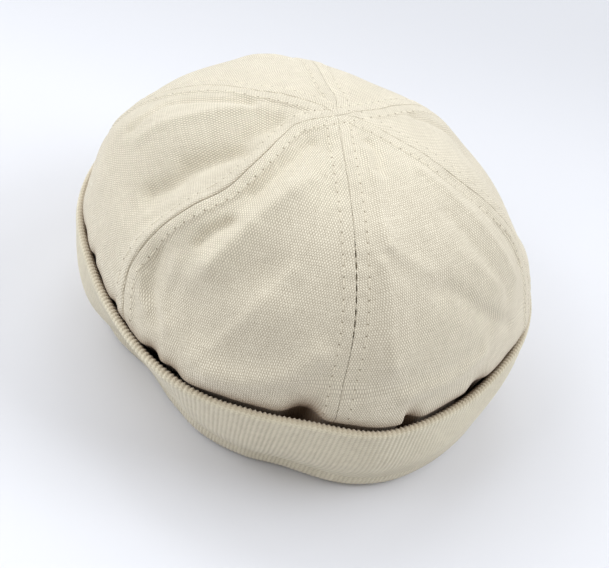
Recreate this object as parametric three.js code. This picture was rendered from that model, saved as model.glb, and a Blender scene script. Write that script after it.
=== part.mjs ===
// A docker beanie: a brimless cap of six canvas gores above a turned-up rib-knit cuff.
// Millimetres, +Z up. The cap rests on the rolled lower edge of its cuff at z = 0, and the
// long seam runs front to back along Y. Azimuths are degrees about Z from +X.
// The canvas keeps the dents, ridges and gathers of a cap that was set down by hand.
import * as THREE from 'three';

// ---- driving dimensions ----------------------------------------------------------------
const CENTRE_X = -0.14;        // plan centre of the cap's bounding box in the crown's own axes
const CENTRE_Y = 0.97;

const CROWN_TOP = 118;         // height of the crown's apex
const CROWN_BASE = 50;         // height at which the dome would stand upright
const CROWN_RADIUS = 97;       // mean radius of the dome at its base
const DOME_SQUARE_R = 0.82;    // 1 is an ellipsoid; less makes the shoulders fuller
const DOME_SQUARE_Z = 1.17;    // 1 is an ellipsoid; more drops the shoulders
const OVAL_SIZE = 6.4;         // half the difference between the dome's long and short radii
const OVAL_AZIMUTH = 10.5;     // direction of the dome's long axis
const TILT_SIZE = 4.3;         // how much higher the dome's shoulder is on its high side
const TILT_AZIMUTH = -4;       // direction of the high shoulder
const LEAN_X = -5.2;           // sideways lean of the apex
const LEAN_Y = 0.4;
const LEAN_POWER = 0.8;

const CANVAS = 1.6;            // wall of the canvas panels
const SEAM_LAYER = 1.1;        // extra wall where the seam allowance is pressed flat inside
const SEAM_ALLOWANCE = 8;      // width of that allowance beside the seam
const SEAM_LAYER_FULL = 3;     // the extra wall thins out from here to the allowance's edge
const SEAM_CREASE = 0.7;       // how deep the panels dip at the seam line
const SEAM_CREASE_WIDTH = 2.4;
const SEAM_GAP = 0.3;          // clearance between neighbouring panels
const TIP_STATION = 0.003;     // where each gore's point is cut off below the apex

const FIT_STATION = 0.35;      // below this station the dome eases to the cuff's own plan
const FIT_INSET = 2.2;         // dome's base radius, measured in from the cuff's crest
const SKIRT_STATION = 0.8;     // dome station (0 apex, 1 base) where the skirt takes over
const SKIRT_SHARE = 0.3;       // share of a gore's length that is skirt
const BULGE_HEIGHT = 53.5;     // the gathered canvas swells here, just over the cuff
const NECK_HEIGHT = 48;        // where the canvas dives into the cuff
const NECK_SHARE = 0.4;        // share of the skirt's length above the neck
const NECK_CLEARANCE = 0.5;    // gap between the canvas and the cuff at the neck, which grows
const NECK_SLACK = 0.35;       // by this share of the swell's own inset
const FOLDS_END = 51;          // the dome's folds fade out between these two heights
const FOLDS_FULL = 60;
const WAIST_HEIGHT = 34;       // a point of the hidden skirt inside the cuff
const WAIST_SHARE = 0.66;      // share of the skirt's length above that point
const WAIST_CLEARANCE = 4;

const KNIT = 4.2;              // wall of the cuff: two layers of rib knit
const CREST_HEIGHT = 50;       // top of the cuff, where the knit is folded on itself
const MIDDLE_HEIGHT = 25;
const HEEL_HEIGHT = 7;         // centre height of the rolled lower edge
const ROLL_SPAN = 7.6;         // distance between the two legs of the roll, centre to centre
const FLAT_WIDTH = 3.2;        // flattened strip on which the cap rests
const SEWN_HEIGHT = 18;        // top of the cuff's inner leg, sewn to the crown's edge
const SEWN_GAP = 0.3;
const PINCH_END = 22;          // the gathers fade out down to this height inside the cuff

// Corners of the cuff's section between the crest and the roll.
const CREST_SHARE = 0.5;       // flat of the crest, as a share of the wall
const CREST_FLAT_HEIGHT = 49.7;
const CREST_SHOULDER = 47.9;   // the crest's rounding starts here
const UPPER_WALL_HEIGHT = 39;  // outer corner below the crest
const INNER_WALL_HEIGHT = 28;  // inner corner below the crest
const LOWER_WALL_HEIGHT = 9;   // the wall's lowest corners, above the roll
const ROLL_INSIDE_HEIGHT = 4.4;
const ROLL_CORNER_HEIGHT = 2.1;
const ROLL_CORNER_SHARE = 0.45;

// Plan of the cuff: one row for each azimuth, with the radius of the wall's centre line at
// the crest, half way down and at the heel of the roll, and how far inside the crest's
// shoulder the canvas swells over it.
const CUFF_PLAN = [
  { azimuth: 0, crest: 99.8, middle: 99.9, heel: 94.6, inset: 1.7 },
  { azimuth: 18, crest: 98.6, middle: 98, heel: 95, inset: 1.2 },
  { azimuth: 36, crest: 100.4, middle: 100.2, heel: 95.8, inset: 0.5 },
  { azimuth: 60, crest: 100.5, middle: 100, heel: 95, inset: 1 },
  { azimuth: 90, crest: 99.2, middle: 97.5, heel: 90.5, inset: 1.3 },
  { azimuth: 120, crest: 100, middle: 96.5, heel: 86.5, inset: 1.3 },
  { azimuth: 150, crest: 101.2, middle: 96.5, heel: 84.5, inset: 1.3 },
  { azimuth: 180, crest: 101, middle: 96.5, heel: 84, inset: 1.3 },
  { azimuth: 210, crest: 99.8, middle: 96.2, heel: 85, inset: 0.9 },
  { azimuth: 230, crest: 98, middle: 93.8, heel: 83.6, inset: 0.4 },
  { azimuth: 250, crest: 95.2, middle: 90.6, heel: 77, inset: 0.6 },
  { azimuth: 268, crest: 97.2, middle: 81.4, heel: 70.2, inset: 0.9 },
  { azimuth: 285, crest: 100.6, middle: 85.8, heel: 74, inset: 0.9 },
  { azimuth: 296, crest: 101.8, middle: 90.6, heel: 78.2, inset: 1 },
  { azimuth: 310, crest: 99.8, middle: 92.6, heel: 80.7, inset: 1.7 },
  { azimuth: 323, crest: 99, middle: 93.8, heel: 82, inset: 1.8 },
  { azimuth: 339, crest: 102.7, middle: 99.8, heel: 90.5, inset: 1.6 },
  { azimuth: 350, crest: 101.4, middle: 100.3, heel: 94.1, inset: 1.7 },
];

// Seams: the azimuth of each at the dome's base, and how far its line wanders on the way
// down, in degrees at each station (0 apex, 1 base).
const SEAMS = [
  { azimuth: 270, wander: [
    { station: 0.05, turn: -14.5 }, { station: 0.09, turn: -14 },
    { station: 0.12, turn: -8 }, { station: 0.152, turn: -3.2 },
    { station: 0.192, turn: 1.4 }, { station: 0.235, turn: 3.9 },
    { station: 0.3, turn: 5.6 }, { station: 0.37, turn: 6 }, { station: 0.43, turn: 4.2 },
    { station: 0.512, turn: 1.2 }, { station: 0.6, turn: -1.8 },
    { station: 0.68, turn: -2.6 }, { station: 0.76, turn: -3.2 },
    { station: 0.84, turn: -2.4 }] },
  { azimuth: 329, wander: [
    { station: 0.05, turn: -2 }, { station: 0.3, turn: 0 }, { station: 0.6, turn: 1 },
    { station: 1, turn: -1 }] },
  { azimuth: 32, wander: [
    { station: 0.05, turn: 14 }, { station: 0.08, turn: 7.5 },
    { station: 0.128, turn: 2.5 }, { station: 0.184, turn: 1.5 },
    { station: 0.25, turn: 0 }, { station: 0.32, turn: 0.3 }, { station: 0.38, turn: 1.3 },
    { station: 0.464, turn: 3.5 }, { station: 0.56, turn: 6 }, { station: 0.68, turn: 6 },
    { station: 0.85, turn: 4 }, { station: 1, turn: 2 }] },
  { azimuth: 94, wander: [
    { station: 0.05, turn: -11 }, { station: 0.09, turn: -10.5 },
    { station: 0.15, turn: -7 }, { station: 0.26, turn: -3.5 }, { station: 0.45, turn: 0 },
    { station: 1, turn: 0 }] },
  { azimuth: 150, wander: [
    { station: 0.05, turn: -7 }, { station: 0.064, turn: -6.5 },
    { station: 0.092, turn: -1.5 }, { station: 0.13, turn: 0.5 }, { station: 0.3, turn: 0 },
    { station: 1, turn: 0 }] },
  { azimuth: 209, wander: [
    { station: 0.05, turn: -14 }, { station: 0.064, turn: -8.5 },
    { station: 0.12, turn: -3 }, { station: 0.18, turn: 2 }, { station: 0.25, turn: 0.5 },
    { station: 0.4, turn: 0 }, { station: 1, turn: 0 }] },
];

// Folds of the crown: the line of each, its half width, and its height above the dome
// (below it when negative).
const FOLDS = [
  { name: 'left valley', height: -4.8, width: 12.5, line: [[257, 0.56], [257, 0.34], [247, 0.16]] },
  { name: 'left upper ridge', height: 3, width: 13, line: [[224, 0.6], [231, 0.39], [232, 0.21]] },
  { name: 'left lower ridge', height: 2.4, width: 8, line: [[268, 0.66], [274, 0.5]] },
  { name: 'left edge swell', height: 1.6, width: 14, line: [[224, 0.66], [232, 0.74]] },
  { name: 'left back swell', height: 1.4, width: 9, line: [[210, 0.74], [217, 0.8]] },
  { name: 'front valley', height: -2.2, width: 7, line: [[288, 0.36], [289, 0.22], [296, 0.1]] },
  { name: 'front ridge', height: 2.4, width: 9, line: [[286, 0.58], [292, 0.45], [301, 0.3]] },
  { name: 'front hollow', height: -1.4, width: 6, line: [[282, 0.6], [286, 0.48]] },
  { name: 'left shoulder dent', height: -2, width: 9, line: [[272, 0.66], [277, 0.73]] },
  { name: 'front shoulder dent', height: -2.6, width: 12, line: [[283, 0.77], [300, 0.78]] },
  { name: 'low front valley', height: -1.5, width: 8, line: [[290, 0.68], [304, 0.54]] },
  { name: 'low front ridge', height: 1.2, width: 8, line: [[297, 0.92], [309, 0.64]] },
  { name: 'ridge right of the front seam', height: 1.8, width: 8, line: [[341, 0.37], [340, 0.72]] },
  { name: 'right valley', height: -1.6, width: 6, line: [[356, 0.53], [13, 0.73]] },
  { name: 'right shoulder flat', height: -5.8, width: 18, line: [[69, 0.5], [57, 0.63]] },
  { name: 'right lower swell', height: 1.2, width: 9, line: [[50, 0.79], [40, 0.8]] },
  { name: 'back upper swell', height: 0.9, width: 7, line: [[82, 0.5], [84, 0.42]] },
  { name: 'back upper dent', height: -2.2, width: 9, line: [[118, 0.36], [132, 0.38]] },
  { name: 'far back swell', height: 1.8, width: 9, line: [[164, 0.41], [168, 0.43]] },
  { name: 'back dent', height: -3.5, width: 14, line: [[112, 0.5], [122, 0.7]] },
  { name: 'back left flat', height: -0.8, width: 12, line: [[180, 0.6], [190, 0.7]] },
];

// Gathers where the crown meets the cuff: azimuth, how far the canvas is pinched in, half
// width in degrees, and how high the crease climbs above the cuff.
const GATHERS = [
  { azimuth: 8, pinch: 2.6, width: 3.8, climb: 7 },
  { azimuth: 45, pinch: 2.3, width: 4, climb: 9 },
  { azimuth: 66, pinch: 1.8, width: 3.5, climb: 7 },
  { azimuth: 84, pinch: 2.8, width: 4, climb: 10 },
  { azimuth: 108, pinch: 2, width: 3.5, climb: 8 },
  { azimuth: 128, pinch: 2.4, width: 4, climb: 9 },
  { azimuth: 156, pinch: 2, width: 3.5, climb: 9 },
  { azimuth: 178, pinch: 2.4, width: 4, climb: 8 },
  { azimuth: 200, pinch: 2, width: 3.5, climb: 8 },
  { azimuth: 241, pinch: 0.9, width: 3.2, climb: 6 },
  { azimuth: 250, pinch: 1.8, width: 3.2, climb: 6 },
  { azimuth: 266, pinch: 1.5, width: 3.2, climb: 6 },
  { azimuth: 283, pinch: 2.9, width: 3.2, climb: 6 },
  { azimuth: 289.5, pinch: 2.2, width: 3.2, climb: 6 },
  { azimuth: 308, pinch: 0.9, width: 7, climb: 6 },
  { azimuth: 321.5, pinch: 5.2, width: 3.4, climb: 8 },
  { azimuth: 345.5, pinch: 3.9, width: 3.2, climb: 7 },
];

// ---- sampling --------------------------------------------------------------------------
const PANEL_COLUMNS = [
  0, 0.03, 0.09, 0.17, 0.25, 0.33, 0.42, 0.5, 0.58, 0.67, 0.75, 0.83, 0.91, 0.97, 1];
const DOME_ROWS = 15;          // rows of facets down a gore: over the dome, over the swell
const SWELL_ROWS = 5;          // above the neck, and down the hidden skirt
const HIDDEN_ROWS = 4;
const CUFF_STEPS = 80;
const NORMAL_STEP = 0.004;     // steps for measuring the crown's normal, in shares of a gore
const NORMAL_LEAST_SHARE = 0.01;
const NORMAL_TURN = 0.5;       // and in degrees
const SLOPE_STEP = 0.01;       // step for measuring the dome's slope at the skirt

// ---- materials -------------------------------------------------------------------------
const canvas = new THREE.MeshStandardMaterial({ color: 0xd9d1bd, roughness: 0.95, metalness: 0 });
const ribKnit = new THREE.MeshStandardMaterial({ color: 0xc8bfa8, roughness: 0.95, metalness: 0 });

// ---- small helpers ---------------------------------------------------------------------
const radians = THREE.MathUtils.degToRad;
const wrap = (degrees) => ((degrees + 540) % 360 + 360) % 360 - 180;
const bell = (x) => Math.exp(-x * x);

function cylindrical(azimuth, radius, height) {
  const angle = radians(azimuth);
  return new THREE.Vector3(radius * Math.cos(angle), radius * Math.sin(angle), height);
}

// Cubic through two neighbouring values with the given slopes; f runs from 0 to 1.
function hermite(a, b, slopeA, slopeB, span, f) {
  const g = 1 - f;
  const ends = a * (1 + 2 * f) * g * g + b * (3 - 2 * f) * f * f;
  return ends + span * (slopeA * f * g * g - slopeB * f * f * g);
}

// Smooth closed curve through one column of the cuff's plan.
function planCurve(azimuth, column) {
  const rows = CUFF_PLAN.length;
  const turn = ((azimuth % 360) + 360) % 360;
  let i = rows - 1;
  while (CUFF_PLAN[i].azimuth > turn) i -= 1;
  const knot = (k) => CUFF_PLAN[(k + rows) % rows].azimuth + 360 * Math.floor(k / rows);
  const value = (k) => CUFF_PLAN[(k + rows) % rows][column];
  const slope = (k) => (value(k + 1) - value(k - 1)) / (knot(k + 1) - knot(k - 1));
  const span = knot(i + 1) - knot(i);
  return hermite(value(i), value(i + 1), slope(i), slope(i + 1), span, (turn - knot(i)) / span);
}

// Smooth open curve through a seam's wander rows, level beyond both ends.
function wander(rows, station) {
  const last = rows.length - 1;
  if (station <= rows[0].station) return rows[0].turn;
  if (station >= rows[last].station) return rows[last].turn;
  let i = 0;
  while (rows[i + 1].station < station) i += 1;
  const slope = (k) => {
    if (k === 0 || k === last) return 0;
    return (rows[k + 1].turn - rows[k - 1].turn) / (rows[k + 1].station - rows[k - 1].station);
  };
  const span = rows[i + 1].station - rows[i].station;
  const f = (station - rows[i].station) / span;
  return hermite(rows[i].turn, rows[i + 1].turn, slope(i), slope(i + 1), span, f);
}

// ---- the crown's surface ---------------------------------------------------------------
// The dome alone: station 0 is the apex and 1 the base.
function domePoint(azimuth, station) {
  const angle = radians(azimuth);
  const rise = radians(90 * (1 - station));
  const across = Math.cos(rise);
  const up = Math.sin(rise) ** DOME_SQUARE_Z;
  const oval = OVAL_SIZE * Math.cos(2 * (angle - radians(OVAL_AZIMUTH))) * across;
  const free = CROWN_RADIUS * across ** DOME_SQUARE_R + oval;
  const fitted = (planCurve(azimuth, 'crest') - FIT_INSET) * across ** DOME_SQUARE_R;
  const ease = THREE.MathUtils.smoothstep(station, FIT_STATION, 1);
  const radius = THREE.MathUtils.lerp(free, fitted, ease);
  const tilt = TILT_SIZE * Math.cos(angle - radians(TILT_AZIMUTH)) * Math.sin(2 * rise);
  const lean = up ** LEAN_POWER;
  return new THREE.Vector3(
    radius * Math.cos(angle) + LEAN_X * lean,
    radius * Math.sin(angle) + LEAN_Y * lean,
    CROWN_BASE + (CROWN_TOP - CROWN_BASE) * up + tilt,
  );
}

// How far the gathers pinch the canvas in, at an azimuth and a height above the cuff.
function gatherDepth(azimuth, above) {
  let depth = 0;
  for (const gather of GATHERS) {
    const across = bell(wrap(azimuth - gather.azimuth) / gather.width);
    depth += gather.pinch * across * bell(Math.max(above, 0) / gather.climb);
  }
  return depth;
}

// Centre-line radius of the cuff's outer wall at a height.
function cuffWallRadius(azimuth, height) {
  const crest = planCurve(azimuth, 'crest');
  const middle = planCurve(azimuth, 'middle');
  const heel = planCurve(azimuth, 'heel');
  const upper = (height - MIDDLE_HEIGHT) / (CREST_HEIGHT - MIDDLE_HEIGHT);
  const lower = (MIDDLE_HEIGHT - height) / (MIDDLE_HEIGHT - HEEL_HEIGHT);
  const slope = (crest - heel) / (CREST_HEIGHT - HEEL_HEIGHT);
  if (upper >= 0) {
    const span = CREST_HEIGHT - MIDDLE_HEIGHT;
    return hermite(middle, crest, slope, (crest - middle) / span, span, Math.min(upper, 1));
  }
  const span = MIDDLE_HEIGHT - HEEL_HEIGHT;
  return hermite(middle, heel, -slope, (heel - middle) / span, span, Math.min(lower, 1));
}

// Centre-line radius of the cuff's inner leg, which the crown's edge is sewn to.
const sewnRadius = (azimuth) => planCurve(azimuth, 'heel') - ROLL_SPAN;

// Stations of the skirt below the dome: the share of the skirt's length, radius and height.
function skirtStations(azimuth) {
  const shoulder = cuffWallRadius(azimuth, CREST_SHOULDER);
  const inset = planCurve(azimuth, 'inset');
  const clearance = NECK_CLEARANCE + NECK_SLACK * inset;
  const neck = cuffWallRadius(azimuth, NECK_HEIGHT) - KNIT / 2 - clearance;
  const waist = cuffWallRadius(azimuth, WAIST_HEIGHT) - KNIT / 2 - WAIST_CLEARANCE;
  return [
    { share: NECK_SHARE / 2, radius: shoulder - inset, height: BULGE_HEIGHT },
    { share: NECK_SHARE, radius: neck, height: NECK_HEIGHT },
    { share: WAIST_SHARE, radius: waist, height: WAIST_HEIGHT },
    { share: 1, radius: sewnRadius(azimuth) + CANVAS / 2, height: SEWN_HEIGHT + SEWN_GAP },
  ];
}

// Share of a gore's length (0 apex, 1 sewn edge) to the dome's station, where the seams
// wander too; on the skirt they run straight down.
const domeStation = (share) => Math.min(SKIRT_STATION * share / (1 - SKIRT_SHARE), SKIRT_STATION);

// The crown without its folds.
function smoothCrown(azimuth, share) {
  if (share <= 1 - SKIRT_SHARE) {
    return domePoint(azimuth, Math.max(domeStation(share), TIP_STATION));
  }
  const along = (share - 1 + SKIRT_SHARE) / SKIRT_SHARE;
  const start = domePoint(azimuth, SKIRT_STATION);
  const stationsPerSkirt = SKIRT_STATION * SKIRT_SHARE / (1 - SKIRT_SHARE);
  const startSlope = start.clone()
    .sub(domePoint(azimuth, SKIRT_STATION - SLOPE_STEP * stationsPerSkirt))
    .divideScalar(SLOPE_STEP);
  const knots = [{ share: 0, point: start }];
  for (const row of skirtStations(azimuth)) {
    knots.push({ share: row.share, point: cylindrical(azimuth, row.radius, row.height) });
  }
  const last = knots.length - 1;
  let i = 0;
  while (i < last - 1 && knots[i + 1].share < along) i += 1;
  const slope = (k) => {
    if (k === 0) return startSlope;
    const before = knots[k - 1];
    const after = knots[Math.min(k + 1, last)];
    return after.point.clone().sub(before.point).divideScalar(after.share - before.share);
  };
  const span = knots[i + 1].share - knots[i].share;
  const f = Math.min((along - knots[i].share) / span, 1);
  const [a, b, slopeA, slopeB] = [knots[i].point, knots[i + 1].point, slope(i), slope(i + 1)];
  return new THREE.Vector3(
    hermite(a.x, b.x, slopeA.x, slopeB.x, span, f),
    hermite(a.y, b.y, slopeA.y, slopeB.y, span, f),
    hermite(a.z, b.z, slopeA.z, slopeB.z, span, f),
  );
}

// Outward normal of the crown without its folds, from two short steps across the point.
function crownNormal(azimuth, share) {
  const low = Math.max(share - NORMAL_STEP, NORMAL_STEP);
  const high = Math.min(Math.max(share + NORMAL_STEP, NORMAL_LEAST_SHARE), 1);
  const down = smoothCrown(azimuth, high).sub(smoothCrown(azimuth, low));
  const level = Math.max(share, NORMAL_LEAST_SHARE);
  const round = smoothCrown(azimuth + NORMAL_TURN, level);
  round.sub(smoothCrown(azimuth - NORMAL_TURN, level));
  return down.cross(round).normalize();
}

const foldLines = FOLDS.map((fold) => ({
  ...fold,
  points: fold.line.map(([azimuth, station]) => domePoint(azimuth, station)),
}));

// Height of the folds above the smooth crown at a point of it.
function foldHeight(point) {
  let height = 0;
  const nearest = new THREE.Vector3();
  for (const fold of foldLines) {
    let distance = Infinity;
    for (let i = 0; i + 1 < fold.points.length; i += 1) {
      new THREE.Line3(fold.points[i], fold.points[i + 1]).closestPointToPoint(point, true, nearest);
      distance = Math.min(distance, nearest.distanceTo(point));
    }
    height += fold.height * bell(distance / fold.width);
  }
  return height;
}

// A point of the crown's outer face: folds and seam creases go along the normal, and
// gathers go inwards, towards the axis.
function crownPoint(azimuth, share, seamDistance) {
  const point = smoothCrown(azimuth, share);
  const crease = SEAM_CREASE * bell(seamDistance / SEAM_CREASE_WIDTH);
  const fade = THREE.MathUtils.smoothstep(point.z, FOLDS_END, FOLDS_FULL);
  const lift = foldHeight(point) * fade - crease;
  const normal = crownNormal(azimuth, share);
  const hidden = THREE.MathUtils.smoothstep(point.z, PINCH_END, NECK_HEIGHT);
  const pinch = gatherDepth(azimuth, point.z - NECK_HEIGHT) * hidden;
  return point.addScaledVector(normal, lift).sub(cylindrical(azimuth, pinch, 0));
}

// ---- meshes ----------------------------------------------------------------------------
// Closed wall between two grids of points (rows of equal length); face[row][column] is on
// the outer side, with columns anticlockwise from above and rows downwards.
function wallGeometry(outer, inner) {
  const rows = outer.length;
  const columns = outer[0].length;
  const positions = [];
  for (const face of [outer, inner]) {
    for (const row of face) {
      for (const point of row) positions.push(point.x, point.y, point.z);
    }
  }
  const index = [];
  const at = (side, row, column) => (side * rows + row) * columns + column;
  const quad = (a, b, c, d) => index.push(a, b, c, a, c, d);
  for (let i = 0; i + 1 < rows; i += 1) {
    for (let j = 0; j + 1 < columns; j += 1) {
      quad(at(0, i, j), at(0, i + 1, j), at(0, i + 1, j + 1), at(0, i, j + 1));
      quad(at(1, i, j), at(1, i, j + 1), at(1, i + 1, j + 1), at(1, i + 1, j));
    }
    quad(at(0, i, 0), at(1, i, 0), at(1, i + 1, 0), at(0, i + 1, 0));
    const end = columns - 1;
    quad(at(0, i, end), at(0, i + 1, end), at(1, i + 1, end), at(1, i, end));
  }
  for (let j = 0; j + 1 < columns; j += 1) {
    const last = rows - 1;
    quad(at(0, 0, j), at(0, 0, j + 1), at(1, 0, j + 1), at(1, 0, j));
    quad(at(0, last, j), at(1, last, j), at(1, last, j + 1), at(0, last, j + 1));
  }
  return indexedGeometry(positions, index);
}

function indexedGeometry(positions, index) {
  const geometry = new THREE.BufferGeometry();
  geometry.setAttribute('position', new THREE.Float32BufferAttribute(positions, 3));
  geometry.setIndex(index);
  geometry.computeVertexNormals();
  return geometry;
}

// Shares of a gore's length at which its rows of facets lie.
function rowShares() {
  const skirt = 1 - SKIRT_SHARE;
  const neck = skirt + SKIRT_SHARE * NECK_SHARE;
  const shares = [0];
  for (const [start, finish, rows] of [
    [0, skirt, DOME_ROWS], [skirt, neck, SWELL_ROWS], [neck, 1, HIDDEN_ROWS]]) {
    for (let i = 1; i <= rows; i += 1) shares.push(start + (finish - start) * i / rows);
  }
  return shares;
}

// One gore between two neighbouring seams.
function panelGeometry(seam, nextSeam) {
  const outer = [];
  const inner = [];
  for (const share of rowShares()) {
    const station = Math.min(domeStation(share) / SKIRT_STATION, 1);
    const centre = smoothCrown(seam.azimuth, share);
    const radius = Math.hypot(centre.x - LEAN_X * (1 - station), centre.y);
    const clearance = THREE.MathUtils.radToDeg(SEAM_GAP / 2 / Math.max(radius, 1));
    const start = seam.azimuth + wander(seam.wander, domeStation(share)) + clearance;
    const finish = nextSeam.azimuth + wander(nextSeam.wander, domeStation(share)) - clearance;
    const sweep = (finish - start + 360) % 360;
    const outerRow = [];
    const innerRow = [];
    for (const column of PANEL_COLUMNS) {
      const azimuth = start + sweep * column;
      const seamDistance = radians(sweep * Math.min(column, 1 - column)) * radius;
      const point = crownPoint(azimuth, share, seamDistance);
      const thinned = THREE.MathUtils.smoothstep(seamDistance, SEAM_LAYER_FULL, SEAM_ALLOWANCE);
      const layer = SEAM_LAYER * (1 - thinned);
      const inside = point.clone().addScaledVector(crownNormal(azimuth, share), -CANVAS - layer);
      if (share === 1) inside.z = point.z;
      outerRow.push(point);
      innerRow.push(inside);
    }
    outer.push(outerRow);
    inner.push(innerRow);
  }
  return wallGeometry(outer, inner);
}

// Section of the cuff at one azimuth, as (radius, height) points round the knit wall: up
// the outside, over the crest, down behind it, round the roll and up the sewn inner leg.
function cuffSection(azimuth) {
  const half = KNIT / 2;
  const heel = planCurve(azimuth, 'heel');
  const leg = sewnRadius(azimuth);
  const wall = (height, side) => [cuffWallRadius(azimuth, height) + side * half, height];
  const middleOfRoll = (heel + leg) / 2;
  const crest = planCurve(azimuth, 'crest');
  return [
    [middleOfRoll + FLAT_WIDTH / 2, 0],
    [heel + half * ROLL_CORNER_SHARE, ROLL_CORNER_HEIGHT],
    wall(LOWER_WALL_HEIGHT, 1),
    wall(MIDDLE_HEIGHT, 1),
    wall(UPPER_WALL_HEIGHT, 1),
    wall(CREST_SHOULDER, 1),
    [crest + half * CREST_SHARE, CREST_FLAT_HEIGHT],
    [crest - half * CREST_SHARE, CREST_FLAT_HEIGHT],
    wall(CREST_SHOULDER, -1),
    wall(INNER_WALL_HEIGHT, -1),
    wall(LOWER_WALL_HEIGHT, -1),
    [middleOfRoll, ROLL_INSIDE_HEIGHT],
    [leg + half, HEEL_HEIGHT],
    [leg + half, SEWN_HEIGHT],
    [leg - half, SEWN_HEIGHT],
    [leg - half, HEEL_HEIGHT],
    [leg - half * ROLL_CORNER_SHARE, ROLL_CORNER_HEIGHT],
    [middleOfRoll - FLAT_WIDTH / 2, 0],
  ];
}

function cuffGeometry() {
  const positions = [];
  const index = [];
  const count = cuffSection(0).length;
  for (let i = 0; i < CUFF_STEPS; i += 1) {
    const azimuth = 360 * i / CUFF_STEPS;
    for (const [radius, height] of cuffSection(azimuth)) {
      positions.push(...cylindrical(azimuth, radius, height));
    }
  }
  for (let i = 0; i < CUFF_STEPS; i += 1) {
    const next = (i + 1) % CUFF_STEPS;
    for (let j = 0; j < count; j += 1) {
      const up = (j + 1) % count;
      const [a, b, c, d] = [i * count + j, next * count + j, next * count + up, i * count + up];
      index.push(a, b, c, a, c, d);
    }
  }
  return indexedGeometry(positions, index);
}

// ---- the cap ---------------------------------------------------------------------------
const PANEL_NAMES = [
  'crown_panel_front',
  'crown_panel_right_front',
  'crown_panel_right_back',
  'crown_panel_back',
  'crown_panel_left_back',
  'crown_panel_left_front',
];

function buildBeanie() {
  const beanie = new THREE.Group();
  PANEL_NAMES.forEach((name, i) => {
    const panel = new THREE.Mesh(panelGeometry(SEAMS[i], SEAMS[(i + 1) % SEAMS.length]), canvas);
    panel.name = name;
    beanie.add(panel);
  });
  const cuff = new THREE.Mesh(cuffGeometry(), ribKnit);
  cuff.name = 'cuff';
  beanie.add(cuff);
  beanie.position.set(-CENTRE_X, -CENTRE_Y, 0);
  return beanie;
}

export default buildBeanie();
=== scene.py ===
import math
from collections import namedtuple

import bpy
import numpy as np
from mathutils import Matrix, Quaternion, Vector, noise
from mathutils.bvhtree import BVHTree


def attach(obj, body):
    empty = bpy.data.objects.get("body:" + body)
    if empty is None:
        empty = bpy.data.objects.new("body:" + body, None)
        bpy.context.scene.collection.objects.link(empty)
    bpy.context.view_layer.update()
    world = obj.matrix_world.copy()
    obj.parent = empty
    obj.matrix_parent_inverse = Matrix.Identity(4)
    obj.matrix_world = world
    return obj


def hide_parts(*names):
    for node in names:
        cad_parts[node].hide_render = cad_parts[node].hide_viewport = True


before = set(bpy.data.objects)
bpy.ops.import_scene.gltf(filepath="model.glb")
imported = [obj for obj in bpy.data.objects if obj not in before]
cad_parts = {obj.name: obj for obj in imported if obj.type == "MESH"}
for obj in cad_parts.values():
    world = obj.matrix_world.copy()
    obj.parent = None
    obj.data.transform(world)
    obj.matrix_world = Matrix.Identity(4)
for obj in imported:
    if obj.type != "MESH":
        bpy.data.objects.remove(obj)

bl_info = {
    "name": "Docker Beanie",
    "version": (1, 0, 0),
    "blender": (4, 5, 0),
    "location": "3D View > Sidebar > Beanie",
    "description": "Builds a brimless canvas cap with a turned-up rib-knit cuff, and its studio",
    "category": "Add Mesh",
}

# The shape is worked out in millimetres, in the crown's own axes, and is put into metres in the
# frame of the part when a mesh is made. Azimuths are degrees about Z from +X. A gore's share
# runs from 0 at the apex to 1 at the edge sewn inside the cuff. The dome's station runs from 0
# at the apex to 1 at its base; at SKIRT_STATION the skirt takes over.
MM = 1000                 # millimetres in a metre

# ---- the crown ---------------------------------------------------------------------------
CENTRE = np.array([-0.14, 0.97, 0.0])
CROWN_TOP = 118.0
CROWN_BASE = 50.0
CROWN_RADIUS = 97.0
DOME_SQUARE_R = 0.82
DOME_SQUARE_Z = 1.17
OVAL_SIZE = 6.4
OVAL_AZIMUTH = 10.5
TILT_SIZE = 4.3
TILT_AZIMUTH = -4.0
LEAN = (-5.2, 0.4)
LEAN_POWER = 0.8
TIP_STATION = 0.00002
FIT_STATION = 0.35        # below it the dome's plan draws near the cuff's
FIT_INSET = 2.2
SKIRT_STATION = 0.8
SKIRT_SHARE = 0.3
BULGE_HEIGHT = 53.5
NECK_HEIGHT = 48.0
NECK_SHARE = 0.4
NECK_CLEARANCE = 0.5
NECK_SLACK = 0.35
WAIST_HEIGHT = 34.0
WAIST_SHARE = 0.66
WAIST_CLEARANCE = 4.0
SEWN_OUTSET = 0.8
FOLDS_RISE = (51, 60)     # heights between which the folds come in
CREASES_RISE = (50, 54)
GATHER_POWER = 2.6
PINCH_END = 22.0
UNEVENNESS = [(0.28, 21.0, 3.7), (0.07, 6.0, 9.1)]    # of handled canvas: size, span, seed

# ---- the cuff ----------------------------------------------------------------------------
KNIT = 4.2
CREST_HEIGHT = 50.0
MIDDLE_HEIGHT = 25.0
HEEL_HEIGHT = 7.0
ROLL_SPAN = 7.6
SEWN_HEIGHT = 18.0
SEWN_GAP = 0.3
CREST_SHOULDER = 47.9
LOWER_WALL_HEIGHT = 9.0
ROLL_INSIDE_HEIGHT = 4.4
ROLL_SQUARE = 0.9
ROLL_FLAT = 1.012         # how much of the roll is pressed flat below
LEG_TOP = 17.2
WALL_ROWS = 19
CREST_ROWS = 20
INNER_ROWS = (46.6, 45, 42, 36, 28, 20, 13)           # heights down the wall's inner side
LEG_ROWS_UP = (8.5, 12, 15.5)
LEG_ROWS_DOWN = (15, 12, 9)
EDGE_TURNS = (30, 60, 90, 120, 150)
ROLL_TURNS = (-165, -150, -136, -122, -110, -98, -82, -70, -58, -44, -30, -15)
WALL_DEPTH = 0.1          # shares of the crest's rib depth: on the wall, on its inner side
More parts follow.
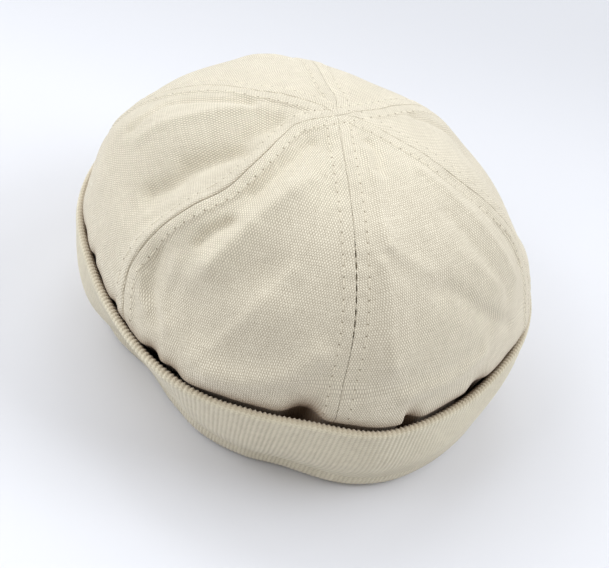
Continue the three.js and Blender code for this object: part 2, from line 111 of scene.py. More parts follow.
INNER_DEPTH = 0.3         # below the crest's ribs, and on the sewn leg
LEG_DEPTH = 0.2
CREST_DEPTH_RISE = (42, 48)
CREST_DEPTH_TURN = (40, 120)
CREST_DEPTH_END = 41
CREST_SHADES = [(0.3, 15, 75), (0.4, 80, 170)]         # painted shade over the crest, in degrees
INNER_SHADE = (0.7, 20, 44)                            # painted shade down the inner side, in height
RIB_PHASES = (0.0, 0.3, 0.5, 0.7)
RIB_SWAY = 0.22           # degrees that ribs stray, in waves of a size, squeeze, span and seed
RIB_SWAYS = [(1, 0.5, 16.0, 8.1), (0.5, 0.7, 6.0, 1.3)]
CUFF_LUMP = 0.25
CUFF_LUMP_SPAN = 22.0
CUFF_LUMP_RISE = (0.6, 5)
REST_HEIGHT = 0.05        # points below it stay on the ground

# Plan of the cuff: azimuth, then the radius of the wall's centre line at the crest, half way
# down and at the heel of the roll, and how far inside the crest's shoulder the crown swells.
CREST, MIDDLE, HEEL, INSET = 1, 2, 3, 4
CUFF_PLAN = np.array([
    (0, 99.8, 99.9, 94.6, 1.7), (18, 98.6, 98.0, 95, 1.2), (36, 100.4, 100.2, 95.8, 0.5),
    (60, 100.5, 100.0, 95, 1), (90, 99.2, 97.5, 90.5, 1.3), (120, 100, 96.5, 86.5, 1.3),
    (150, 101.2, 96.5, 84.5, 1.3), (180, 101, 96.5, 84, 1.3), (210, 99.8, 96.2, 85, 0.9),
    (230, 98, 93.8, 83.6, 0.4), (250, 95.2, 90.6, 77, 0.6), (268, 97.2, 81.4, 70.2, 0.9),
    (285, 100.6, 85.8, 74, 0.9), (296, 101.8, 90.6, 78.2, 1.0), (310, 99.8, 92.6, 80.7, 1.7),
    (323, 99, 93.8, 82, 1.8), (339, 102.7, 99.8, 90.5, 1.6), (350, 101.4, 100.3, 94.1, 1.7),
], float)

# Seams: name, azimuth at the base, how deep the turned edge rolls in and how high the pressed
# allowance lifts the canvas beside it, as (station, depth, lift), and how far the line wanders,
# as (station, degrees).
Seam = namedtuple("Seam", "name azimuth edge wander")
SEAMS = [
    Seam("left", 270, [(0, 0.3, 0.5), (0.12, 0.45, 0.8), (0.2, 0.8, 0.9), (0.7, 0.9, 0.8),
                       (1, 0.6, 0.5)],
         [(0, -12), (0.03, -14.5), (0.09, -14), (0.12, -8), (0.152, -3.2), (0.192, 1.4),
          (0.235, 3.9), (0.3, 5.6), (0.37, 6), (0.43, 4.2), (0.512, 1.2), (0.6, -1.8),
          (0.68, -2.6), (0.76, -3.2), (0.81, -2.6), (0.836, -1.3), (0.856, 0.5), (0.888, 2),
          (1, 3)]),
    Seam("front", 329, [(0, 0.35, 0.3), (0.4, 0.45, 0.35), (0.6, 0.6, 0.4), (1, 0.5, 0.4)],
         [(0.05, -2), (0.3, 0), (0.6, 1), (1, -1)]),
    Seam("right", 32, [(0, 0.3, 0.4), (0.3, 0.4, 0.6), (1, 0.45, 0.6)],
         [(0, 34), (0.028, 28), (0.044, 17), (0.08, 7.5), (0.128, 2.5), (0.184, 1.5),
          (0.25, 0), (0.32, 0.3), (0.38, 1.3), (0.464, 3.5), (0.56, 6), (0.68, 6), (0.85, 4),
          (1, 2)]),
    Seam("right_back", 94, [(0, 0.3, 0.5), (1, 0.4, 0.5)],
         [(0, -15), (0.03, -11), (0.09, -10.5), (0.15, -7), (0.26, -3.5), (0.45, 0), (1, 0)]),
    Seam("back", 150, [(0, 0.3, 0.4), (1, 0.4, 0.5)],
         [(0, -8), (0.064, -6.5), (0.092, -1.5), (0.13, 0.5), (0.3, 0), (1, 0)]),
    Seam("left_back", 209, [(0, 0.4, 0.5), (0.1, 0.6, 0.8), (1, 0.6, 0.8)],
         [(0, -22), (0.03, -18), (0.064, -8.5), (0.12, -3), (0.18, 2), (0.25, 0.5), (0.4, 0),
          (1, 0)]),
]

# Lines of sewing, by the seams that they follow: the long one climbs over the apex.
LINES = [
    ("long", ("left", "right_back")), ("front", ("front",)), ("right", ("right",)),
    ("back", ("back",)), ("left_back", ("left_back",)),
]

# Gores, in the order of the seam that each starts from: name, the solid that it stands for,
# its side of the long seam, and how far its threads are turned, in degrees.
GORES = [
    ("front_gore", "crown_panel_front", "front", 13),
    ("right_front_gore", "crown_panel_right_front", "front", 0),
    ("right_back_gore", "crown_panel_right_back", "front", 0),
    ("back_gore", "crown_panel_back", "back", 0),
    ("left_back_gore", "crown_panel_left_back", "back", 0),
    ("left_front_gore", "crown_panel_left_front", "back", -10),
]

# Folds: height above the smooth crown, half width, and the line as (azimuth, station).
FOLDS = [
    (-4.8, 12.5, [(257, 0.56), (257, 0.34), (247, 0.16)]),  # left valley
    (3, 13, [(224, 0.6), (231, 0.39), (232, 0.21)]),  # left upper ridge
    (2.4, 8, [(268, 0.66), (274, 0.5)]),  # left lower ridge
    (1.6, 14, [(224, 0.66), (232, 0.74)]),  # left edge swell
    (1.4, 9, [(210, 0.74), (217, 0.8)]),  # left back swell
    (-2.2, 7, [(288, 0.36), (289, 0.22), (296, 0.1)]),  # front valley
    (2.4, 9, [(286, 0.58), (292, 0.45), (301, 0.3)]),  # front ridge
    (-1.4, 6, [(282, 0.6), (286, 0.48)]),  # front hollow
    (-2, 9, [(272, 0.66), (277, 0.73)]),  # left shoulder dent
    (-2.6, 12, [(283, 0.77), (300, 0.78)]),  # front shoulder dent
    (-1.5, 8, [(290, 0.68), (304, 0.54)]),  # low front valley
    (1.2, 8, [(297, 0.92), (309, 0.64)]),  # low front ridge
    (1.8, 8, [(341, 0.37), (340, 0.72)]),  # ridge right of the front seam
    (-1.6, 6, [(356, 0.53), (13, 0.73)]),  # right valley
    (-5.8, 18, [(69, 0.5), (57, 0.63)]),  # right shoulder flat
    (1.2, 9, [(50, 0.79), (40, 0.8)]),  # right lower swell
    (0.9, 7, [(82, 0.5), (84, 0.42)]),  # back upper swell
    (-2.2, 9, [(118, 0.36), (132, 0.38)]),  # back upper dent
    (1.8, 9, [(164, 0.41), (168, 0.43)]),  # far back swell
    (-3.5, 14, [(112, 0.5), (122, 0.7)]),  # back dent
    (-0.8, 12, [(180, 0.6), (190, 0.7)]),  # back left flat
]

# Creases, finer than the folds and in the cloth alone, in the same columns.
CREASES = [
    (-3.2, 4.6, [(254, 0.42), (256, 0.34), (260, 0.25)]),
    (-1.4, 3.6, [(252, 0.21), (248, 0.16), (242, 0.12)]),
    (-1.9, 3.6, [(253, 0.57), (255, 0.52), (256, 0.47)]),
    (0.8, 3.4, [(259, 0.63), (262, 0.54), (266, 0.45)]),
    (-1.6, 2.4, [(228, 0.55), (225, 0.5), (220, 0.44), (221, 0.36), (224, 0.27), (226, 0.18)]),
    (1.0, 3, [(234, 0.53), (233, 0.46), (234, 0.32), (233, 0.23), (229, 0.15)]),
    (-1.4, 2.8, [(289, 0.1), (288, 0.19), (287, 0.28), (286, 0.34)]),
    (1.3, 3.4, [(288, 0.6), (290, 0.54), (292, 0.46), (293, 0.4), (297, 0.34), (301, 0.29),
                (306, 0.23)]),
    (-2, 2.8, [(281, 0.56), (283, 0.5), (286, 0.46)]),
    (-1.2, 2.8, [(272, 0.67), (273, 0.73), (275, 0.79), (278, 0.83), (281, 0.85)]),
    (1.0, 3, [(278, 0.65), (279, 0.76), (282, 0.82), (285, 0.84)]),
    (1.0, 2.4, [(271, 0.78), (274, 0.83), (277, 0.85)]),
    (-0.6, 4, [(287, 0.72), (291, 0.8)]),
    (0.75, 3, [(294, 0.88), (295.5, 0.836), (297.5, 0.804), (302, 0.7), (306.5, 0.6),
               (311, 0.51)]),
    (2.2, 5.2, [(299, 0.9), (306, 0.89), (311, 0.86), (316, 0.83), (319, 0.79),
               (322, 0.74)]),
    (1.1, 2.2, [(354, 0.1), (348, 0.15), (346, 0.2), (343, 0.26), (341, 0.32), (341, 0.39)]),
    (0.8, 2.2, [(338, 0.44), (339, 0.5), (339, 0.66), (340, 0.74)]),
    (0.6, 3, [(342, 0.4), (346, 0.42), (350, 0.45), (354, 0.48), (357, 0.53), (0, 0.58)]),
    (-1.4, 2.8, [(6, 0.08), (1, 0.11), (351, 0.165)]),
    (-0.4, 3.4, [(344, 0.46), (347, 0.52), (347, 0.58), (346, 0.64)]),
    (-1.0, 3.6, [(12, 0.34), (13, 0.39), (15, 0.45), (18, 0.56), (22, 0.69)]),
    (-0.8, 3, [(358, 0.54), (4, 0.59), (9, 0.66), (16, 0.75), (22, 0.82)]),
    (0.5, 3, [(7, 0.45), (13, 0.54), (20, 0.66)]),
    (0.8, 2.6, [(19, 0.21), (21, 0.33), (23, 0.44), (26, 0.58), (28, 0.68)]),
    (-0.9, 2.6, [(29, 0.28), (30, 0.4), (32, 0.53), (34, 0.66)]),
    (1.4, 3.4, [(9, 0.83), (4, 0.84), (357, 0.86), (350, 0.85), (344, 0.86)]),
    (-1.6, 3, [(77, 0.22), (77, 0.3), (78, 0.39)]),
]

# Gathers where the crown meets the cuff: azimuth, pinch, half width in degrees, climb, and
# how much steeper the side of the lower azimuths is.
GATHERS = [
    (1, 0.8, 4, 5, 1), (8, 2.8, 3.8, 7, 1.2), (24, 0.5, 4, 6, 1), (45, 2.5, 4, 9, 1),
    (66, 2, 3.5, 7, 1), (84, 3, 4, 10, 1), (108, 2.2, 3.5, 8, 1), (128, 2.6, 4, 9, 1),
    (156, 2.2, 3.5, 9, 1), (178, 2.6, 4, 8, 1), (200, 2.2, 3.5, 8, 1), (226, 0.5, 3.5, 7, 1),
    (241, 1.0, 2.6, 5, 1), (250, 2.0, 2.4, 6, 1.6), (256, 0.9, 3, 4, 1),
    (266, 1.6, 2.2, 5, 1.4), (272, 0.9, 3, 4, 1), (283, 3.2, 2.5, 6, 1),
    (289.5, 2.4, 2.6, 6, 1), (300, 0.8, 4, 6, 1), (308, 1, 7, 6, 1), (321.5, 5.6, 3.4, 8, 0.8),
    (331, 0.5, 5, 6, 1), (345.5, 4.2, 3, 7, 3), (355, 0.6, 4, 5, 1),
]

# ---- sewing ------------------------------------------------------------------------------
ALLOWANCE_EDGE = (4.9, 6.4)
WELT = 0.4                # the long seam's back edge stands proud of its front edge
WELT_PLACE = 1.5
WELT_WIDTH = 1.1
GROOVE = 0.16             # the topstitching pulls the canvas down
GROOVE_WIDTH = 0.7
ROLL_SPREAD = 1.3
CREASE_FADE = (0.8, 3.0)  # seams that end at the long seam run out under its sewing
STITCH_FADE = 2.0
PUCKER = 0.09
PUCKER_PITCH = 9.0
PUCKER_SWAY = 1.7
PUCKER_SWAY_RUN = 13.0
PUCKER_PLACE = 3.2
PUCKER_WIDTH = 3.0
SEAM_GAP = 0.06
SEAM_OPEN = 0.5           # the front seam opens between its own stitches, low on the crown
OPEN_RUN = (58, 70, 96, 110)
OPEN_BEAT = (0.15, 0.7)
CREVICE_SHADE_BEHIND_CUFF = 0.8                # painted shade, dark brown, on canvas tucked behind the cuff, fading between these heights, and deeper in a gather
CREVICE_SHADE_FADE = (47.0, 56.5)     # heights, and deeper in a gather
CREVICE_SHADE_PINCH = 3.4
STITCH_ENDS = [(0.45, 0.25, 0.92), (0.22, 0.75, 0.75)]    # step out, drop and narrowing
STITCH_RISE = 0.1
STITCH_FILL = 0.94
ROW_CLEARANCE = 0.8
DROP_FROM = 8.0           # stitches are set down on the canvas from here, within a reach
DROP_REACH = 0.02
TAPE_WIDTH = 15.0
TAPE_THICKNESS = 0.0006
TAPE_SHARES = (0.06, 0.96)
TAPE_GAP = 0.35
TAPE_STEP = 0.06          # each tape lies a little deeper than the one before
TAPE_LEAST_RADIUS = 8.0
TAPE_PULL = 0.35          # its middle is pulled out to the seam
TAPE_PULL_WIDTH = 1.6
TAPE_WAVE = 0.12
TAPE_WAVE_RUN = 3.1

# ---- sampling ----------------------------------------------------------------------------
EDGE_COLUMNS = [0, 0.1, 0.22, 0.4, 0.65, 1.0, 1.6, 2.4, 3.3, 4.0, 4.4, 4.8, 5.2, 5.7, 6.3, 7.2,
                8.4]
NARROW = 40.0             # gore width below which the edge columns draw together
MIDDLE_COLUMNS = 74
TOP_SHARE = 0.09
ROWS = (28, 108, 30, 10)  # down a gore: by the apex, on the dome, on the swell and hidden
LINE_SHARES = np.append(np.linspace(0, 0.1, 24), np.linspace(0.1, 1, 110)[1:])
TAPE_ROWS = 110
TAPE_COLUMNS = 13
SAME_PLACE = 0.0001
BATCH = 2000
LEVEL_STATION = 0.999     # beyond it the flat pattern runs straight down
LEAST_RADIUS = 0.2

# ---- the cloths' look --------------------------------------------------------------------
DRIFT = 1.6               # how far threads stray in mm, and how finely
DRIFT_GRAIN = 0.11
VALLEY = 0.35             # the dip between two weft threads
WARP_TONE = 0.3           # how far each kind of unevenness changes the canvas's tone
WEFT_TONE = 0.22
PATCH_TONE = 0.24
SLUB_TONE = 0.07
SLUB_RANGE = (0.56, 0.74)
# needle holes: the reach of each mark, and how far painted shade darkens it
HOLE_REACH = (0.03, 0.2)
HOLE_SHADE = 0.75
GRAIN_SHIFT = (61.3, 23.9)
LOOP_SLANT = 1.3
YARN_TONE = 0.5
KNIT_PATCH_TONE = 0.3
RIB_SHADE = 0.22
PAPER_GRAIN = 0.985
# painted shade on the far floor
FAR_FLOOR_SHADE = 0.75
MIX_A, MIX_B, MIX_RESULT = 6, 7, 2    # the sockets for colours

# ---- the studio --------------------------------------------------------------------------
FLOOR_SIZE = 30
FLOOR_HEIGHT = -0.0003
VIEW_TARGET = (0.0251, -0.02427, 0.060)
VIEW_AZIMUTH = 310
VIEW_ELEVATION = 43
VIEW_ROLL = 17.6
VIEW_DISTANCE = 0.550
LENS = 79.27
SENSOR_WIDTH = 36
CLIP_START = 0.01
SKY_COLOUR = (1.0, 0.983, 0.938)
SKY_STRENGTH = 0.45
LIGHT_COLOUR = (0.9, 0.95, 1)
LIGHTS_AIM = 0.05

# Lights: name, place across the view, away from the camera and up, size and power.
LIGHTS = [
    ("back_softbox", -0.3, 1.5, 2.0, 1.4, 16),
    ("left_back_softbox", -1.4, 1.2, 1.6, 1.2, 14),
    ("right_back_softbox", 1.4, 1.2, 1.6, 1.2, 11.5),
    ("left_softbox", -1.5, 0.2, 1.2, 1.2, 10.5),
    ("left_front_softbox", -1.3, -0.8, 1.2, 1.2, 14),
    ("right_softbox", 1.5, 0.2, 1.2, 1.2, 20.5),
]


def smoothstep(x, low, high):
    t = np.clip((x - low) / (high - low), 0, 1)
    return t * t * (3 - 2 * t)


def bell(x):
    return np.exp(-x * x)


def wrap(degrees):
    return np.mod(degrees + 180, 360) - 180


def hermite(a, b, slope_a, slope_b, span, f):
    """Cubic through two neighbouring values with the given slopes; f runs from 0 to 1."""
    g = 1 - f
    ends = a * (1 + 2 * f) * g * g + b * (3 - 2 * f) * f * f
    return ends + span * (slope_a * f * g * g - slope_b * f * f * g)


def cylindrical(azimuth, radius, height):
    angle = np.radians(azimuth)
    x, y = radius * np.cos(angle), radius * np.sin(angle)
    return np.stack(np.broadcast_arrays(x, y, height), axis=-1)


def smooth_curve(knots, values, x):
    """Smooth curve through values at knots, level at both ends and beyond them."""
    slopes = np.zeros(len(knots))
    slopes[1:-1] = (values[2:] - values[:-2]) / (knots[2:] - knots[:-2])
    x = np.clip(x, knots[0], knots[-1])
    i = np.clip(np.searchsorted(knots, x, side="right") - 1, 0, len(knots) - 2)
    span = knots[i + 1] - knots[i]
    return hermite(values[i], values[i + 1], slopes[i], slopes[i + 1], span,
                   (x - knots[i]) / span)


def plan_curve(azimuth, column):
    """Smooth closed curve through one column of the cuff's plan."""
    before, after = CUFF_PLAN[-2:].copy(), CUFF_PLAN[:3].copy()
    before[:, 0] -= 360
    after[:, 0] += 360
    plan = np.concatenate([before, CUFF_PLAN, after])
    return smooth_curve(plan[:, 0], plan[:, column], np.mod(azimuth, 360.0))


def wander(rows, station):
    """How far a seam strays at a station, from its wander rows."""
    stations, turns = np.array(rows, float).T
    return smooth_curve(stations, turns, station)


def dome_point(azimuth, station):
    """The dome alone: station 0 is the apex and 1 the base."""
    angle = np.radians(azimuth)
    rise = np.radians(90 * (1 - station))
    across, up = np.maximum(np.cos(rise), 0), np.sin(rise) ** DOME_SQUARE_Z
    oval = OVAL_SIZE * np.cos(2 * (angle - math.radians(OVAL_AZIMUTH))) * across
    free = CROWN_RADIUS * across ** DOME_SQUARE_R + oval
    fitted = (plan_curve(azimuth, CREST) - FIT_INSET) * across ** DOME_SQUARE_R
    radius = free + (fitted - free) * smoothstep(station, FIT_STATION, 1)
    tilt = TILT_SIZE * np.cos(angle - math.radians(TILT_AZIMUTH)) * np.sin(2 * rise)
    lean = up ** LEAN_POWER
    x = radius * np.cos(angle) + LEAN[0] * lean
    y = radius * np.sin(angle) + LEAN[1] * lean
    z = CROWN_BASE + (CROWN_TOP - CROWN_BASE) * up + tilt
    return np.stack(np.broadcast_arrays(x, y, z), axis=-1)


def cuff_wall_radius(azimuth, height):
    """Centre-line radius of the cuff's outer wall at a height."""
    crest, middle, heel = (plan_curve(azimuth, c) for c in (CREST, MIDDLE, HEEL))
    slope = (crest - heel) / (CREST_HEIGHT - HEEL_HEIGHT)
    high, low = CREST_HEIGHT - MIDDLE_HEIGHT, MIDDLE_HEIGHT - HEEL_HEIGHT
    upper = hermite(middle, crest, slope, (crest - middle) / high, high,
                    np.clip((height - MIDDLE_HEIGHT) / high, 0, 1))
    lower = hermite(middle, heel, -slope, (heel - middle) / low, low,
                    np.clip((MIDDLE_HEIGHT - height) / low, 0, 1))
    return np.where(height >= MIDDLE_HEIGHT, upper, lower)


def seam_station(share):
    """Station of a share of a gore's length, running on past the dome's down the skirt."""
    return SKIRT_STATION * share / (1 - SKIRT_SHARE)


def dome_station(share):
    return np.minimum(seam_station(share), SKIRT_STATION)


def smooth_crown(azimuth, share):
    """The crown's outer face without its folds."""
    azimuth, share = np.broadcast_arrays(np.asarray(azimuth, float),
                                         np.asarray(share, float))
    result = dome_point(azimuth, np.maximum(dome_station(share), TIP_STATION))
    start = dome_point(azimuth, SKIRT_STATION)
    step = 0.01
    per_skirt = SKIRT_STATION * SKIRT_SHARE / (1 - SKIRT_SHARE)
    start_slope = (start - dome_point(azimuth, SKIRT_STATION - step * per_skirt)) / step
    crest = cuff_wall_radius(azimuth, CREST_SHOULDER)
    half = KNIT / 2
    inset = plan_curve(azimuth, INSET)
    neck = cuff_wall_radius(azimuth, NECK_HEIGHT) - half - NECK_CLEARANCE - NECK_SLACK * inset
    waist = cuff_wall_radius(azimuth, WAIST_HEIGHT) - half - WAIST_CLEARANCE
    sewn = plan_curve(azimuth, HEEL) - ROLL_SPAN + SEWN_OUTSET
    shares = [0, NECK_SHARE / 2, NECK_SHARE, WAIST_SHARE, 1]
    points = [start] + [cylindrical(azimuth, r, np.full(azimuth.shape, h)) for r, h in (
        (crest - inset, BULGE_HEIGHT), (neck, NECK_HEIGHT), (waist, WAIST_HEIGHT),
        (sewn, SEWN_HEIGHT + SEWN_GAP))]
    last = len(points) - 1
    slopes = [start_slope]
    for k in range(1, last + 1):
        after = min(k + 1, last)
        slopes.append((points[after] - points[k - 1]) / (shares[after] - shares[k - 1]))
    along = np.clip((share - 1 + SKIRT_SHARE) / SKIRT_SHARE, 0, 1)
    for k in range(last):
        span = shares[k + 1] - shares[k]
        here = (along > shares[k]) & (along <= shares[k + 1])
        f = ((along - shares[k]) / span)[..., None]
        piece = hermite(points[k], points[k + 1], slopes[k], slopes[k + 1], span, f)
        result = np.where(here[..., None], piece, result)
    return result


def crown_normal(azimuth, share):
    """Normal of the smooth crown; next to the apex, the one just below it."""
    step, least, turn = 0.004, 0.01, 0.5
    low = np.maximum(share - step, step)
    high = np.minimum(np.maximum(share + step, least), 1)
    down = smooth_crown(azimuth, high) - smooth_crown(azimuth, low)
    level = np.maximum(share, least)
    around = smooth_crown(azimuth + turn, level) - smooth_crown(azimuth - turn, level)
    normal = np.cross(down, around)
    return normal / np.linalg.norm(normal, axis=-1, keepdims=True)


def fold_height(point, folds):
    """Height of folds or creases above the smooth crown at points of it."""
    height = np.zeros(point.shape[:-1])
    for size, width, line in folds:
        knots = [dome_point(float(a), float(s)) for a, s in line]
        nearest = np.full(point.shape[:-1], np.inf)
        for a, b in zip(knots, knots[1:]):
            t = np.clip(((point - a) @ (b - a)) / ((b - a) @ (b - a)), 0, 1)
            gap = np.linalg.norm(point - a - t[..., None] * (b - a), axis=-1)
            nearest = np.minimum(nearest, gap)
        height += size * bell(nearest / width)
    return height


def gather_depth(azimuth, above):
    """How deep the gathers pull the crown in, at a height above the neck."""
    depth = np.zeros(np.shape(azimuth))
    for at, pinch, width, climb, steep in GATHERS:
        turn = wrap(azimuth - at) / width
        across = np.exp(-np.abs(np.where(turn < 0, turn * steep, turn)) ** GATHER_POWER)
        depth = depth + pinch * across * bell(np.maximum(above, 0) / climb)
    return depth


def crevice_shade_amount(azimuth, height):
    """Share of painted shade on canvas tucked behind the cuff or into a gather, from 0 to 1."""
    behind = CREVICE_SHADE_BEHIND_CUFF * (1 - smoothstep(height, *CREVICE_SHADE_FADE))
    return 1 - (1 - behind) * np.exp(-gather_depth(azimuth, height - NECK_HEIGHT) / CREVICE_SHADE_PINCH)


def soft_noise(point, span, seed):
    """Smooth noise from -1 to 1 at points in millimetres."""
    flat = point.reshape(-1, 3) / span + seed
    found = np.array([noise.noise(Vector(p)) for p in flat])
    return found.reshape(point.shape[:-1])


# Where points lie beside a line of sewing: their distance from it and run along it, with the
# depth of its edge and the lift of its allowance there.
Sewing = namedtuple("Sewing", "distance run depth lift")


def nearer(one, other):
    """At each point, whichever of two lines of sewing is closer."""
    closer = one.distance <= other.distance
    return Sewing(*(np.where(closer, a, b) for a, b in zip(one, other)))


def allowance(sewing):
    return sewing.lift * (1 - smoothstep(sewing.distance, *ALLOWANCE_EDGE))


def edge_drop(sewing):
    inside = np.clip(1 - sewing.distance / (sewing.depth * ROLL_SPREAD), 0, 1)
    return sewing.depth * (1 - np.sqrt(1 - inside * inside))


def groove_depth(sewing, sizes):
    pull = 0.75 + 0.25 * np.cos(2 * math.pi * sewing.run / (sizes.stitch_pitch * MM))
    return GROOVE * pull * bell((sewing.distance - sizes.stitch_offset * MM) / GROOVE_WIDTH)


def pucker(sewing):
    sway = PUCKER_SWAY * np.sin(sewing.run / PUCKER_SWAY_RUN)
    wave = np.sin(2 * math.pi * sewing.run / PUCKER_PITCH + sway)
    return PUCKER * wave * bell((sewing.distance - PUCKER_PLACE) / PUCKER_WIDTH)


def seam_relief(long, short, side, sizes):
    """Height of the canvas beside the long seam and the nearest of the others: pressed
    allowance, rolled edges, stitched grooves and puckers."""
    lift = np.maximum(allowance(long), allowance(short))
    if side == "back":
        lift = lift + WELT * bell((long.distance - WELT_PLACE) / WELT_WIDTH) * long.depth
    ends = smoothstep(long.distance, *CREASE_FADE)
    offset = sizes.stitch_offset * MM
    clear = smoothstep(long.distance, offset, offset + STITCH_FADE)
    lift = lift - edge_drop(long) - edge_drop(short) * ends
    lift = lift - groove_depth(long, sizes) - groove_depth(short, sizes) * clear
    return lift + pucker(long) + pucker(short) * clear


def crown_surface(azimuth, share, relief=0.0):
    """Points of the finished crown's outer face, and the smooth crown's normal there."""
    point = smooth_crown(azimuth, share)
    normal = crown_normal(azimuth, share)
    height = point[..., 2]
    lift = (fold_height(point, FOLDS) * smoothstep(height, *FOLDS_RISE)
            + fold_height(point, CREASES) * smoothstep(height, *CREASES_RISE))
    free = smoothstep(height, NECK_HEIGHT - 1, BULGE_HEIGHT + 1)
    rough = sum(size * soft_noise(point, span, seed) for size, span, seed in UNEVENNESS)
    lift = lift + (relief + rough) * free
    hidden = smoothstep(height, PINCH_END, NECK_HEIGHT)
    pinch = gather_depth(azimuth, height - NECK_HEIGHT) * hidden
    moved = point + normal * lift[..., None]
    return moved - cylindrical(azimuth, pinch, np.zeros(np.shape(pinch))), normal


def seam_azimuth(seam, share):
    return seam.azimuth + wander(seam.wander, seam_station(share))


def gore_radius(azimuth, share):
    """Distance of the smooth crown from the leaning axis at an azimuth."""
    station = np.minimum(dome_station(share) / SKIRT_STATION, 1)
    point = smooth_crown(azimuth, share)
    away = np.hypot(point[..., 0] - LEAN[0] * (1 - station), point[..., 1])
    return np.maximum(away, LEAST_RADIUS)


def step_lengths(points):
    return np.linalg.norm(np.diff(points, axis=0), axis=-1)


def run_along(points):
    """Distance along a line of points at each of them."""
    return np.concatenate([[0], np.cumsum(step_lengths(points))])


class SewnLine:
    """A line of sewing on the smooth crown: its points, their normals, their run along it,
    and the depth and lift of its edge."""

    def __init__(self, name, seams):
        tables = []
        for seam in SEAMS:
            if seam.name in seams:
                stations, *edge = zip(*seam.edge)
                station = seam_station(LINE_SHARES)
                edge = [np.interp(station, stations, values) for values in edge]
                tables.append(np.array([seam_azimuth(seam, LINE_SHARES), LINE_SHARES, *edge]))
        if len(tables) > 1:
            tables[0] = tables[0][:, ::-1]
        azimuth, share, *edge = np.concatenate(tables, axis=1)
        points = smooth_crown(azimuth, share)
        keep = np.append(True, step_lengths(points) > SAME_PLACE)
        self.name = name
        self.points = points[keep]
        self.normal = crown_normal(azimuth, share)[keep]
        self.run = run_along(self.points)
        self.edge = np.array(edge)[:, keep]

    def beside(self, points):
        """How points lie beside this line."""
        start, step = self.points[:-1], np.diff(self.points, axis=0)
        size = (step * step).sum(-1)
        flat = points.reshape(-1, 3)
        distance, run = np.empty(len(flat)), np.empty(len(flat))
        for part in np.array_split(np.arange(len(flat)), len(flat) // BATCH + 1):
            gap = flat[part, None] - start
            t = np.clip((gap * step).sum(-1) / size, 0, 1)
            apart = np.linalg.norm(gap - t[..., None] * step, axis=-1)
            nearest = apart.argmin(axis=1)
            row = np.arange(len(part))
            distance[part] = apart[row, nearest]
            run[part] = self.run[nearest] + t[row, nearest] * np.sqrt(size[nearest])
        edge = [np.interp(run, self.run, values) for values in self.edge]
        return Sewing(*(values.reshape(points.shape[:-1]) for values in (distance, run, *edge)))

    def between(self, values, run):
        return np.stack([np.interp(run, self.run, column) for column in values.T], axis=-1)

    def at(self, run):
        """Point, direction and normal at places along the line."""
        step = self.between(self.points, run + 0.5) - self.between(self.points, run - 0.5)
        along = step / np.linalg.norm(step, axis=-1, keepdims=True)
        return self.between(self.points, run), along, self.between(self.normal, run)


def row_shares():
    skirt = 1 - SKIRT_SHARE
    ends = [0, TOP_SHARE, skirt, skirt + SKIRT_SHARE * NECK_SHARE, 1]
    spans = [np.linspace(low, high, rows + 1)[1:]
             for low, high, rows in zip(ends, ends[1:], ROWS)]
    return np.concatenate([[0], *spans])


def to_frame(points):
    """Crown axes in millimetres to the frame of the part in metres."""
    return (points - CENTRE) / MM


# ---- meshes ------------------------------------------------------------------------------
def deselect_all():
    if bpy.context.mode != "OBJECT":
        bpy.ops.object.mode_set(mode="OBJECT")
    bpy.ops.object.select_all(action="DESELECT")


def make_active(piece):
    deselect_all()
    piece.select_set(True)
    bpy.context.view_layer.objects.active = piece


def face_outward(piece):
    make_active(piece)
    bpy.ops.object.mode_set(mode="EDIT")
    bpy.ops.mesh.select_all(action="SELECT")
    bpy.ops.mesh.normals_make_consistent(inside=False)
    bpy.ops.object.mode_set(mode="OBJECT")


def grid_mesh(name, points, closed=False):
    """A mesh of quads over a grid of points (rows, columns, 3) in the frame, closed both
    ways or open; returns the object and the faces' corner indices."""
    rows, columns = points.shape[:2]
    i, j = np.meshgrid(np.arange(rows if closed else rows - 1),
                       np.arange(columns if closed else columns - 1), indexing="ij")
    down, right = (i + 1) % rows, (j + 1) % columns
    corners = np.stack([i * columns + j, down * columns + j,
                        down * columns + right, i * columns + right], axis=-1)
    corners = corners.reshape(-1, 4)
    mesh = bpy.data.meshes.new(name)
    mesh.from_pydata(points.reshape(-1, 3), [], corners.tolist(), shade_flat=False)
    mesh.validate()
    piece = bpy.data.objects.new(name, mesh)
    bpy.context.scene.collection.objects.link(piece)
    return piece, corners


def add_uv(piece, name, corner_uv):
    layer = piece.data.uv_layers.new(name=name)
    layer.uv.foreach_set("vector", corner_uv.reshape(-1).astype(np.float32))


def add_grid_uv(piece, name, u, v, corners):
    """A UV map from the two values at each point of the piece's grid."""
    add_uv(piece, name, np.stack([u.reshape(-1), v.reshape(-1)], -1)[corners.reshape(-1)])


def add_attribute(piece, name, values):
    attribute = piece.data.attributes.new(name, "FLOAT", "POINT")
    attribute.data.foreach_set("value", values.reshape(-1).astype(np.float32))


def thicken(piece, thickness):
    wall = piece.modifiers.new("wall", "SOLIDIFY")
    wall.thickness = thickness
    wall.offset = -1
    make_active(piece)
    bpy.ops.object.modifier_apply(modifier=wall.name)


def give_material(piece, material):
    piece.data.materials.clear()
    piece.data.materials.append(material)


